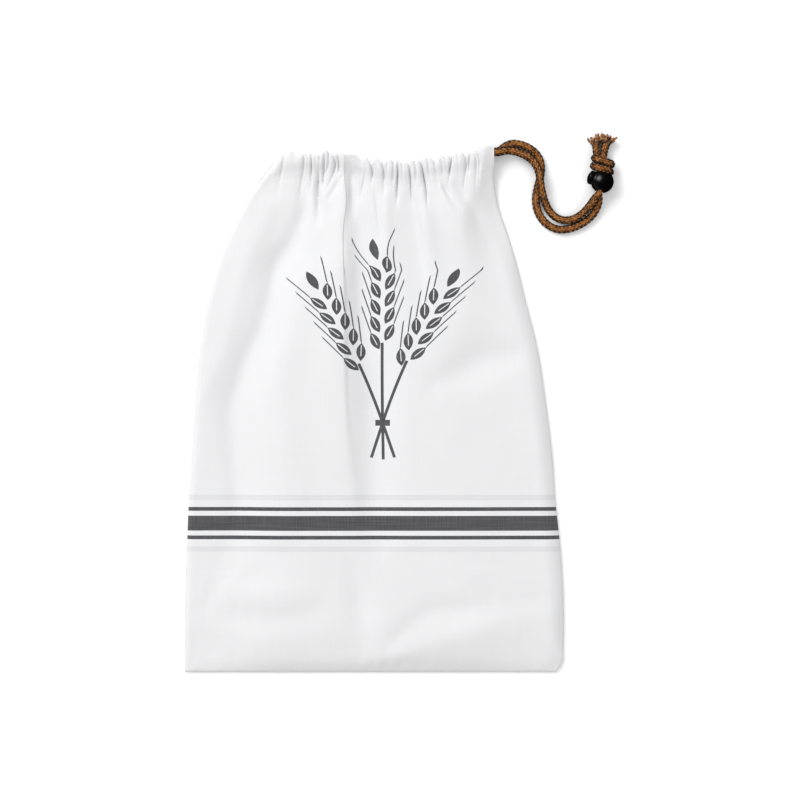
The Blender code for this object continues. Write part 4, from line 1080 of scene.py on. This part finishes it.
def soft_unevenness(x, height):
    """Low swells all over the cloth, and small crumples in patches, mostly in its lower part."""

    def noise_at(px, py, size, layer):
        return noise.noise(Vector((px / size[0], py / size[1], layer)))

    relief = np.zeros(x.shape)
    for k, (px, py) in enumerate(zip(x, height)):
        broad, middling, fine = (noise_at(px, py, swell.size, swell.layer) for swell in SWELLS)
        across = px / CRUMPLE_SIZE[0] + CRUMPLE_BEND[0] * fine
        up = py / CRUMPLE_SIZE[1] + CRUMPLE_BEND[1] * broad
        crumple = math.exp(-((noise.noise(Vector((across, up, CRUMPLE_LAYER))) / CRUMPLE_WIDTH) ** 2))
        patch = max(noise_at(px, py, PATCH_SIZE, PATCH_LAYER) + PATCH_SHARE, 0.0)
        low = math.exp(-(((py - CRUMPLE_AT) / CRUMPLE_REACH) ** 2)) + CRUMPLE_ELSEWHERE
        swells = SWELLS[0].depth * broad + SWELLS[1].depth * middling + SWELLS[2].depth * fine
        relief[k] = swells - CRUMPLE * crumple * patch * low
    return relief


def edge_rise(x, row):
    """Half the thickness of the lying bag's rounded edge, which reaches its full size a little way in."""
    left, right = outline(row, "left", "right")
    inward = np.clip(np.minimum(np.minimum(x - left, right - x), row), 0.0, EDGE_RADIUS)
    return np.sqrt(np.maximum(EDGE_RADIUS**2 - (EDGE_RADIUS - inward) ** 2, 0.0))


def side_rise(inward, shoulder, row, side, lifted=0.0):
    """How the front rises at one side, from 0 at its edge to 1. Inward is how far in from the edge."""
    share = np.clip(inward / shoulder, 0, 1)
    rise = 1 - (1 - share) ** side.roundness
    rise = rise + FLATNESS * (smooth_step(share) - rise)
    rise = rise + (1 - rise) * lifted
    first = 1 - (1 - np.clip(inward / side.edge, 0, 1)) ** 2
    widening = smooth_step((row - MARGIN_WIDENS_AT) / MARGIN_WIDENING)
    width = side.width + (side.top_width - side.width) * widening
    stepped = side.share * first + (1 - side.share) * smooth_step((inward - side.start) / width)
    return rise + (stepped - rise) * smooth_step((side.top - row) / MARGIN_BLEND)


def casing_relief(above):
    """How far the cloth sinks at the casing's stitches, rolls out above them and turns in at its rim."""
    sink = STITCH_GROOVE * np.exp(-((above / STITCH_GROOVE_WIDTH) ** 2))
    sink = sink + SEAM_SINK * np.exp(-((above / np.where(above > 0, SINK_ABOVE, SINK_BELOW)) ** 2))
    sink = sink - CASING_ROLL * smooth_step((above - ROLL_FROM) / ROLL_OVER)
    rim = np.clip((above - CASING_DEPTH + RIM_RADIUS) / RIM_RADIUS, 0.0, 1.0)
    return sink + RIM_ROLL * (1 - np.sqrt(1 - rim**2))


def bottom_ripple(x, row):
    """The small puckers along the bottom seam."""
    shift, over = RIPPLE_SHIFT
    mean, swing, length, phase = RIPPLE_SWELL
    waves = np.sin(x / RIPPLE_LENGTH + shift * np.sin(x / over)) * (mean + swing * np.sin(x / length + phase))
    return RIPPLE * waves * smooth_step(row / RIPPLE_FROM) * np.exp(-((row / RIPPLE_REACH) ** 2))


def front_height(x, row):
    """The outer face of the front cloth, above the surface that the bag lies on, without the pleat."""
    left, right, crown = outline(row, "left", "right", "crown")
    left_shoulder, right_shoulder = outline(row, "left_shoulder", "right_shoulder")
    lifted = read_table(END_LIFTS, "row", row, "front")[0]
    left_side = side_rise(x - left, left_shoulder, row, LEFT_SIDE)
    right_side = side_rise(right - x, right_shoulder, row, RIGHT_SIDE, lifted)
    height = height_of(x, row)
    relief = crease_relief(x, row) + soft_unevenness(x, height)
    for fold in FOLDS.values():
        relief = relief + FOLD_DEPTH * fold_relief(x, height, fold)
    settle = smooth_step(np.minimum(np.minimum(x - left, right - x) / SETTLE_IN, row / SETTLE_UP))
    in_shoulder = right - x < right_shoulder
    rise = np.maximum(edge_rise(x, row), EDGE_RADIUS * lifted * in_shoulder)
    body = (crown - 2 * EDGE_RADIUS) * (left_side * right_side)
    relief = relief - casing_relief(row - SEAM_AT)
    return EDGE_RADIUS + rise + body + relief * settle + bottom_ripple(x, row)


def back_height(x, row):
    """The back cloth's outer face, flat on the surface but for its edges and the gathers at the mouth."""
    right, crown = outline(row, "right", "crown")
    pucker = np.zeros_like(x)
    for crease in CREASES:
        off = (x - crease.seam_x - BACK_PUCKER_SHIFT) / (BACK_PUCKER_WIDTH * crease.width)
        pucker = np.maximum(pucker, np.exp(-(off**2)))
    pucker = BACK_PUCKER * smooth_step((row - BACK_PUCKER_FROM) / BACK_PUCKER_OVER) * pucker
    casing_end = smooth_step((row - CASING_END_FROM) / CASING_END_OVER)
    open_end = casing_end * smooth_step((x - right + OPEN_END_WIDTH) / OPEN_END_WIDTH)
    lift = np.maximum(read_table(END_LIFTS, "row", row, "back")[0], 0.0) * (crown - EDGE_RADIUS)
    lift = lift * smooth_step((x - right) / BACK_LIFT_WIDTH + 1.0)
    return (EDGE_RADIUS - edge_rise(x, row) + pucker) * (1 - open_end) + lift


def right_seam_height(row):
    """How high the right side's seam lies."""
    lift = read_table(END_LIFTS, "row", row, "front")[0]
    return EDGE_RADIUS + float(lift * (outline(row, "crown")[0] - EDGE_RADIUS))


def cloth_rows():
    """Mesh rows from the bottom seam to the mouth, finest at the seam and through the gathers."""
    rows = list(BOTTOM_ROWS)
    for end, step in ROW_STEPS:
        while rows[-1] < end:
            rows.append(rows[-1] + step)
    last = rows[-1]
    rim_from = BAG_LENGTH - RIM_RADIUS
    steps = round((rim_from - last) / CASING_ROW_STEP)
    rows += [last + (rim_from - last) * (k + 1) / steps for k in range(steps)]
    return rows + [rim_from + RIM_RADIUS * share for share in RIM_ROWS]


def edge_shares(count, close):
    """Shares of a width from one edge to the other, beginning with the close ones."""
    return np.array([*close, *np.linspace(close[-1], 1.0, count - len(close) + 1)[1:]])


def lap_rise(x, row, side):
    """How far the pleat lifts the cloth on one of its sides: the upper layer's, or the one beneath it."""
    middle, rise, step, spread = read_table(PLEAT, "height", row, "x", "rise", "step", side)
    rise = np.maximum(rise - (step if side == "right" else 0.0), 0.0)
    return rise * np.exp(-(((x - middle) / spread) ** 2))


def front_row(row):
    """x, height, z and the cloth's own coordinate of each point across the front."""
    left, right = outline(row, "left", "right")
    lap_x, hidden, slope = (float(v) for v in read_table(PLEAT, "height", row, "x", "hidden", "slope"))
    hidden = max(hidden, 0.0)
    slope = max(slope, 0.0)
    to_lap = [*edge_shares(LEFT_COLUMNS - len(LAP_COLUMNS) + 1, EDGE_COLUMNS)[:-1], *LAP_COLUMNS]
    left_x = left + (lap_x - left) * np.array(to_lap)
    start = lap_x + slope - hidden
    right_x = right - (right - start) * edge_shares(RIGHT_COLUMNS, EDGE_COLUMNS)[::-1]
    turned_x, level, turned_u = [], [], []
    folded = float(smooth_step(hidden / FULLY_FOLDED))
    for k, step in enumerate(LAP_STEPS):
        share = (k + 1) / (len(LAP_STEPS) + 1)
        turned_x.append(lap_x + folded * LAP_ROUND * step.out + slope * share - hidden * step.back)
        level.append(folded * step.level + (1 - folded) * 2 * float(smooth_step(share)))
        turned_u.append(lap_x + slope * share + hidden * step.back)
    x = np.concatenate([left_x, turned_x, right_x])
    beneath = np.concatenate([np.zeros(len(left_x)), level, np.full(len(right_x), 2.0)]) / 2
    u = np.concatenate([left_x, turned_u, right_x + 2 * hidden])
    rows = np.full(x.shape, row)
    rise = (1 - beneath) * lap_rise(x, row, "left") + beneath * lap_rise(x, row, "right")
    return x, height_of(x, rows), front_height(x, rows) + rise, u


def back_row(row):
    """The same across the back."""
    left, right = outline(row, "left", "right")
    half = edge_shares(BACK_COLUMNS // 2, BACK_EDGE_COLUMNS) / 2
    x = left + (right - left) * np.concatenate([half, 1 - half[-2::-1]])
    rows = np.full(x.shape, row)
    return x, height_of(x, rows), back_height(x, rows), x


def cloth_points(mesh, uv, face, make_row, shared):
    """One face's rows of vertices, from the bottom seam up to the mouth and down the turned-in hem."""
    grid = []
    for row in cloth_rows():
        x, height, z, u = make_row(row)
        line = []
        for c in range(len(x)):
            side = {0: "left", len(x) - 1: "right"}.get(c)
            seamed = side == "left" or (side == "right" and row < SEAM_AT)
            lift = z[c]
            if side == "right" and seamed:
                lift = right_seam_height(row)
            elif seamed or row == 0:
                lift = EDGE_RADIUS
            vertex = shared.get((row, side)) if seamed else None
            vertex = vertex or mesh.verts.new(place((x[c], height[c], lift)))
            if seamed:
                shared[row, side] = vertex
            line.append(vertex)
            uv[vertex, face] = (u[c], height[c])
        grid.append(line)
    inward = -HEM_GAP if face == "front" else HEM_GAP
    for below in HEM_ROWS:
        gap = inward * math.sin(0.5 * math.pi * min(below / HEM_TURN, 1.0))
        x, height, z, u = make_row(BAG_LENGTH - below)
        line = [mesh.verts.new(place(point)) for point in zip(x, height, z + gap)]
        for c, vertex in enumerate(line):
            uv[vertex, face] = (u[c], height[c] + 2 * below)
        grid.append(line)
    return grid


def make_bag(material):
    """The whole cloth: front and back, joined at the left fold and at the seams, and the hem turned in."""
    mesh = bmesh.new()
    uv, shared, grids = {}, {}, {}
    for face, make_row in (("front", front_row), ("back", back_row)):
        grids[face] = cloth_points(mesh, uv, face, make_row, shared)
    layer = mesh.loops.layers.uv.new("cloth")
    for face, grid in grids.items():
        for low, high in zip(grid, grid[1:]):
            for c in range(len(low) - 1):
                corners = [low[c], low[c + 1], high[c + 1], high[c]]
                if face == "back":
                    corners.reverse()
                for loop in mesh.faces.new(corners).loops:
                    u, v = uv[loop.vert, face]
                    loop[layer].uv = (u * MM, v * MM if face == "front" else -v * MM)
    close_bottom(mesh, grids["front"][0], grids["back"][0])
    obj = mesh_object("bag_cloth", mesh, material)
    obj.data.shade_smooth()
    thick = obj.modifiers.new("cloth", "SOLIDIFY")
    thick.thickness = CLOTH * MM
    thick.offset = -1.0
    thick.use_even_offset = False
    thick.use_rim = True
    apply_modifiers(obj)
    return obj


def close_bottom(mesh, front, back):
    """Joins the front's and the back's first rows, which have different numbers of columns."""
    i, j = 0, 0
    while i < len(front) - 1 or j < len(back) - 1:
        ahead_front = front[min(i + 1, len(front) - 1)].co.x
        ahead_back = back[min(j + 1, len(back) - 1)].co.x
        if j == len(back) - 1 or (i < len(front) - 1 and ahead_front <= ahead_back):
            corners = [front[i], front[i + 1], back[j]]
            i += 1
        else:
            corners = [front[i], back[j + 1], back[j]]
            j += 1
        if len(set(corners)) == 3:
            mesh.faces.new(list(reversed(corners)))


def stitch_tree():
    """Stitches laid end to end along a curve."""
    inputs = {"Step": "Float", "Length": "Float", "Radius": "Float", "Material": "Material"}
    tree, given = modelling_tree("running stitches", **inputs)
    spaced = {"Curve": given["Geometry"], "Length": given["Step"]}
    points = node_outputs(tree, "GeometryNodeCurveToPoints", spaced, mode="LENGTH")
    ball = {"Segments": STITCH_SIDES, "Rings": STITCH_RINGS, "Radius": given["Radius"]}
    stitch = node_outputs(tree, "GeometryNodeMeshUVSphere", ball)["Mesh"]
    stretch = Field(tree, given["Length"]) / (Field(tree, given["Radius"]) * 2.0)
    shape = node_outputs(tree, "ShaderNodeCombineXYZ", {"X": 1.0, "Y": 1.0, "Z": stretch})[0]
    tangent = {"Vector": points["Tangent"]}
    turn = node_outputs(tree, "FunctionNodeAlignRotationToVector", tangent, axis="Z")[0]
    return end_tree(tree, on_points(tree, points["Points"], stitch, turn, shape), given["Material"])


def make_stitches(tree, material):
    """The casing's line of stitches through the front and the back."""
    left, right = outline(SEAM_AT, "left", "right")
    sizes = {"Step": STITCH_STEP * MM, "Length": STITCH_LENGTH * MM, "Radius": STITCH_RADIUS * MM}
    parts = []
    for make_row, lift in ((front_row, FRONT_STITCH_LIFT), (back_row, BACK_STITCH_LIFT)):
        line = []
        for x, height, z, _ in zip(*make_row(SEAM_AT)):
            inside = left + STITCH_INSET < x < right - STITCH_INSET
            if inside and (not line or x > line[-1][0] + STITCH_SPACING):
                line.append((x, height, max(z + lift, STITCH_RADIUS), 0.0))
        parts.append(run_nodes(curve_object("stitches", line), tree, Material=material, **sizes))
    return keep_above(join_meshes("casing_stitches", parts), 0.0)


# Finishes, each of which gives the shader's inputs


def new_material(name, finish):
    material = bpy.data.materials.new(name)
    material.use_nodes = True
    tree = material.node_tree
    set_inputs(tree, tree.nodes["Principled BSDF"], finish(tree))
    return material


def own_place(tree):
    return node_outputs(tree, "ShaderNodeTexCoord")["Object"]


def noise_field(tree, where, scale, detail=2.0):
    return Field(tree, noise_outputs(tree, where, scale, detail)[0])


def kept_field(tree, name):
    """A value that was stored on the mesh."""
    return Field(tree, node_outputs(tree, "ShaderNodeAttribute", attribute_name=name)["Fac"])


def mix_colours(tree, share, one, other):
    one, other = ((*colour, 1.0) if isinstance(colour, tuple) else colour for colour in (one, other))
    return node_outputs(tree, "ShaderNodeMix", {0: share, 6: one, 7: other}, data_type="RGBA")[2]


def bump(tree, strength, distance, height):
    inputs = {"Strength": strength, "Distance": distance * MM, "Height": height}
    return node_outputs(tree, "ShaderNodeBump", inputs)[0]


def thread_finish(tree):
    twist = noise_field(tree, own_place(tree), TWIST_SCALE)
    return {"Base Color": mix_colours(tree, twist, *THREAD_COLOURS), "Roughness": 0.7}


def ear_group():
    """The ink of one wheat ear with its stem: two rows of kernels with awns, and one kernel at the tip."""
    tree = bpy.data.node_groups.new("wheat ear", "ShaderNodeTree")
    for label in ("Across", "Up", "Turn", "Start", "Length", "Bend"):
        tree.interface.new_socket(label, in_out="INPUT", socket_type="NodeSocketFloat")
    tree.interface.new_socket("Ink", in_out="OUTPUT", socket_type="NodeSocketFloat")
    given = node_outputs(tree, "NodeGroupInput")
    across, up, turn, start, length, bend = (Field(tree, socket) for socket in given[:6])
    cosine, sine = turn.math("COSINE"), turn.math("SINE")
    along = up * cosine + across * sine
    grown = along.math("MAXIMUM", 0.0)
    off = across * cosine - up * sine - bend * grown * grown
    away = off.math("ABSOLUTE")
    run = along - start - (off > 0.0) * (0.5 * KERNEL_STEP)
    in_step = run - ((run / KERNEL_STEP).math("FLOOR") + 0.5) * KERNEL_STEP
    lean_cosine, lean_sine = math.cos(KERNEL_LEAN), math.sin(KERNEL_LEAN)
    outward = away - KERNEL_OUT
    lengthwise = in_step * lean_cosine + outward * lean_sine
    crosswise = (outward * lean_cosine - in_step * lean_sine).math("ABSOLUTE")
    squared = (lengthwise / KERNEL_HALF).math("POWER", 2.0)
    kernel = ((1.0 - squared) * KERNEL_WIDE - crosswise > 0.0) * (run > 0.0) * (run < length)
    kernel = kernel * (1.0 - (crosswise < GROOVE_HALF) * lengthwise.between(*GROOVE_ENDS))
    from_tip = along - start - length - TIP_OUT * KERNEL_STEP
    tip_squared = (from_tip / (TIP_LONG * KERNEL_HALF)).math("POWER", 2.0)
    tip = (1.0 - tip_squared) * KERNEL_WIDE - away > 0.0
    root = run - (away - AWN_FROM) / AWN_SLOPE
    nearest = (root - (root / KERNEL_STEP + 0.5).math("FLOOR") * KERNEL_STEP).math("ABSOLUTE")
    awn = (nearest < AWN_WIDE) * away.between(AWN_FROM, AWN_TO) * (root > 0.5 * KERNEL_STEP)
    awn = awn * (root < length + 0.5 * KERNEL_STEP)
    stem = (away < STEM_WIDE) * (along > -STEM_BELOW) * (along < start + STEM_INTO * KERNEL_STEP)
    ink = kernel.math("MAXIMUM", tip).math("MAXIMUM", awn).math("MAXIMUM", stem)
    node_outputs(tree, "NodeGroupOutput", {0: ink})
    return tree


def print_fields(tree, u, v):
    """The dark ink and the pale ink of the print: a small sheaf of three ears above a band of stripes."""
    group = ear_group()
    across = u - SHEAF_AT[0]
    up = v - SHEAF_AT[1]
    dark = across.between(-TIE_HALF[0], TIE_HALF[0]) * up.between(-TIE_HALF[1], TIE_HALF[1])
    for ear in EARS:
        inputs = {"Across": across, "Up": up, "Turn": math.radians(ear.turn), "Start": ear.start}
        inputs |= {"Length": ear.kernels * KERNEL_STEP, "Bend": ear.bend}
        ink = node_outputs(tree, "ShaderNodeGroup", inputs, node_tree=group)[0]
        dark = dark.math("MAXIMUM", Field(tree, ink))
    pale = None
    for stripe in STRIPES:
        band = v.between(stripe.height - stripe.half, stripe.height + stripe.half)
        if stripe.tone == "dark":
            dark = dark.math("MAXIMUM", band)
        else:
            pale = band if pale is None else pale.math("MAXIMUM", band)
    return dark, pale


def cotton_finish(tree):
    """Plain weave with slubs both ways, and the print on it."""
    uv = node_outputs(tree, "ShaderNodeUVMap", uv_map="cloth")[0]
    split = node_outputs(tree, "ShaderNodeSeparateXYZ", {0: uv})
    u, v = (Field(tree, socket) * (1 / MM) for socket in split[:2])
    turns = 2 * math.pi / THREAD_STEP
    weave = (u * turns).math("SINE") * (v * turns).math("SINE")
    slubs = []
    for scale in SLUB_SCALES:
        stretched = node_outputs(tree, "ShaderNodeMapping", {"Vector": uv, "Scale": scale})[0]
        slubs.append(noise_field(tree, stretched, 1.0, 3.0))
    both = slubs[0] + slubs[1]
    cloth = mix_colours(tree, both * 0.5, *COTTON_COLOURS)
    dark, pale = print_fields(tree, u, v)
    worn = both * SLUB_INK + LEAST_INK
    printed = mix_colours(tree, pale * worn, cloth, PALE_INK)
    return {
        "Base Color": mix_colours(tree, dark * worn, printed, DARK_INK),
        "Normal": bump(tree, 0.2, 0.2, weave * WEAVE_RELIEF + both * SLUB_RELIEF),
        "Roughness": 0.92,
        "Sheen Weight": 0.12,
        "Sheen Roughness": 0.6,
        "Specular IOR Level": 0.2,
    }


def braid_finish(tree):
    """Brown yarns with tones of their own, and painted shade: darker in their grooves and where the braid
    faces sideways or down.
    """
    where = own_place(tree)
    fibre = noise_field(tree, where, FIBRE_SCALE, 3.0)
    patch = noise_field(tree, where, YARN_PATCH_SCALE)
    normal = node_outputs(tree, "ShaderNodeNewGeometry")["Normal"]
    sideways = 1.0 - Field(tree, node_outputs(tree, "ShaderNodeSeparateXYZ", {0: normal})[2])
    crown = kept_field(tree, "crown").math("POWER", CROWN_POWER)
    tone = kept_field(tree, "tone") * TONE_LIGHT
    # Painted shade: darker in the grooves between the yarns and where the braid faces sideways or down
    light = crown * GROOVE_PAINTED_SHADE + tone - sideways * SIDEWAYS_PAINTED_SHADE - BRAID_DARK
    light = light + (fibre - 0.5) * FIBRE_LIGHT + (patch - 0.5) * YARN_PATCH_LIGHT
    return {
        "Base Color": mix_colours(tree, light.clamped(), *BRAID_COLOURS),
        "Normal": bump(tree, 0.5, 0.2, fibre),
        "Roughness": 0.75,
        "Sheen Weight": 0.06,
        "Specular IOR Level": 0.2,
    }


def fray_finish(tree):
    """The same brown, with painted shade that darkens it towards the roots, where the yarns crowd together.
    """
    patch = noise_field(tree, own_place(tree), FRAY_PATCH_SCALE, 3.0)
    # Painted shade: darker towards the yarns' roots
    share = (patch - 0.5) * FRAY_PATCH_LIGHT + kept_field(tree, "out") * FRAY_ROOT_PAINTED_SHADE - FRAY_DARK
    share = share.clamped()
    return {"Base Color": mix_colours(tree, share, *FRAY_COLOURS), "Roughness": 0.8, "Sheen Weight": 0.05}


def plastic_finish(tree):
    """Black moulded plastic with a slight haze."""
    where = own_place(tree)
    haze = noise_field(tree, where, HAZE_SCALE)
    return {
        "Base Color": mix_colours(tree, haze, *PLASTIC_COLOURS),
        "Normal": bump(tree, 0.05, 0.1, noise_field(tree, where, PLASTIC_GRAIN_SCALE, 1.0)),
        "Roughness": haze * HAZE_ROUGHNESS + PLASTIC_ROUGHNESS,
        "Specular IOR Level": 0.5,
    }


def table_finish(tree):
    grain = noise_field(tree, own_place(tree), TABLE_GRAIN_SCALE)
    return {"Base Color": mix_colours(tree, grain, *TABLE_COLOURS), "Roughness": 0.9}


# The studio


def make_camera():
    data = bpy.data.cameras.new("camera")
    data.sensor_width = SENSOR
    data.lens = SENSOR * CAMERA_HEIGHT / (PHOTO_SIZE * MM_PER_PIXEL * MM)
    data.clip_end = 20
    camera = add_object("camera", data)
    camera.location = place((*PHOTO_MIDDLE, 0)) + Vector((0, 0, CAMERA_HEIGHT + FOCUS_HEIGHT))
    bpy.context.scene.camera = camera


def make_studio():
    mesh = bmesh.new()
    bmesh.ops.create_grid(mesh, x_segments=1, y_segments=1, size=TABLE_HALF)
    floor = mesh_object("table_top", mesh, new_material("white table", table_finish))
    floor.visible_glossy = False
    world = bpy.data.worlds.new("studio")
    world.use_nodes = True
    tree = world.node_tree
    mirrored = Field(tree, node_outputs(tree, "ShaderNodeLightPath")["Is Glossy Ray"])
    strength = ROOM_LIGHT - mirrored * (ROOM_LIGHT - ROOM_MIRRORED)
    set_inputs(tree, tree.nodes["Background"], {"Color": (1.0, 1.0, 1.0, 1.0), "Strength": strength})
    scene = bpy.context.scene
    scene.world = world
    for lamp in LAMPS:
        add_lamp(lamp)
    scene.view_settings.view_transform = "Standard"
    scene.view_settings.look = "None"


def add_lamp(lamp):
    data = bpy.data.lights.new(lamp.name, "AREA")
    data.size = lamp.size
    data.energy = lamp.power
    obj = add_object(lamp.name, data)
    obj.location = lamp.at
    obj.rotation_euler = (-Vector(lamp.at)).to_track_quat("-Z", "Y").to_euler()
    obj.visible_glossy = lamp.mirrored


def main():
    make_camera()
    braid = braid_tree()
    braided = new_material("brown braid", braid_finish)
    lift = SQUEEZED_RADIUS + GAP / 2
    over_path = route_through_lock(OVER_ROUTE, lift)
    under_path = route_through_lock(UNDER_ROUTE, -lift)
    cord_over = make_braid("cord_over", over_path, braid, braided)
    cord_under = make_braid("cord_under", under_path, braid, braided)
    knot = make_knot(braid, braided)
    frays = make_frays(fray_tree(), new_material("frayed yarn", fray_finish))
    plastic = new_material("black plastic", plastic_finish)
    ball = make_lock_ball(plastic)
    button = make_lock_button(plastic)
    bag = make_bag(new_material("white cotton", cotton_finish))
    stitches = make_stitches(stitch_tree(), new_material("white thread", thread_finish))

    for piece in (bag, stitches, cord_over, cord_under, knot, frays, ball):
        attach(piece, "bag_body")
    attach(button, "button")
    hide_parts("bag")
    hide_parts("strand_over")
    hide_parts("strand_under")
    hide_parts("knotted_ends")
    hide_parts("toggle_ball")
    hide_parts("toggle_button")
    on_cord = [knot, frays, ball, button]
    for piece, path, others in ((cord_over, over_path, on_cord), (cord_under, under_path, ())):
        tuple(place(path[0][:3]))
        [tuple(place(p[:3])) for p in path]
    make_studio()


main()
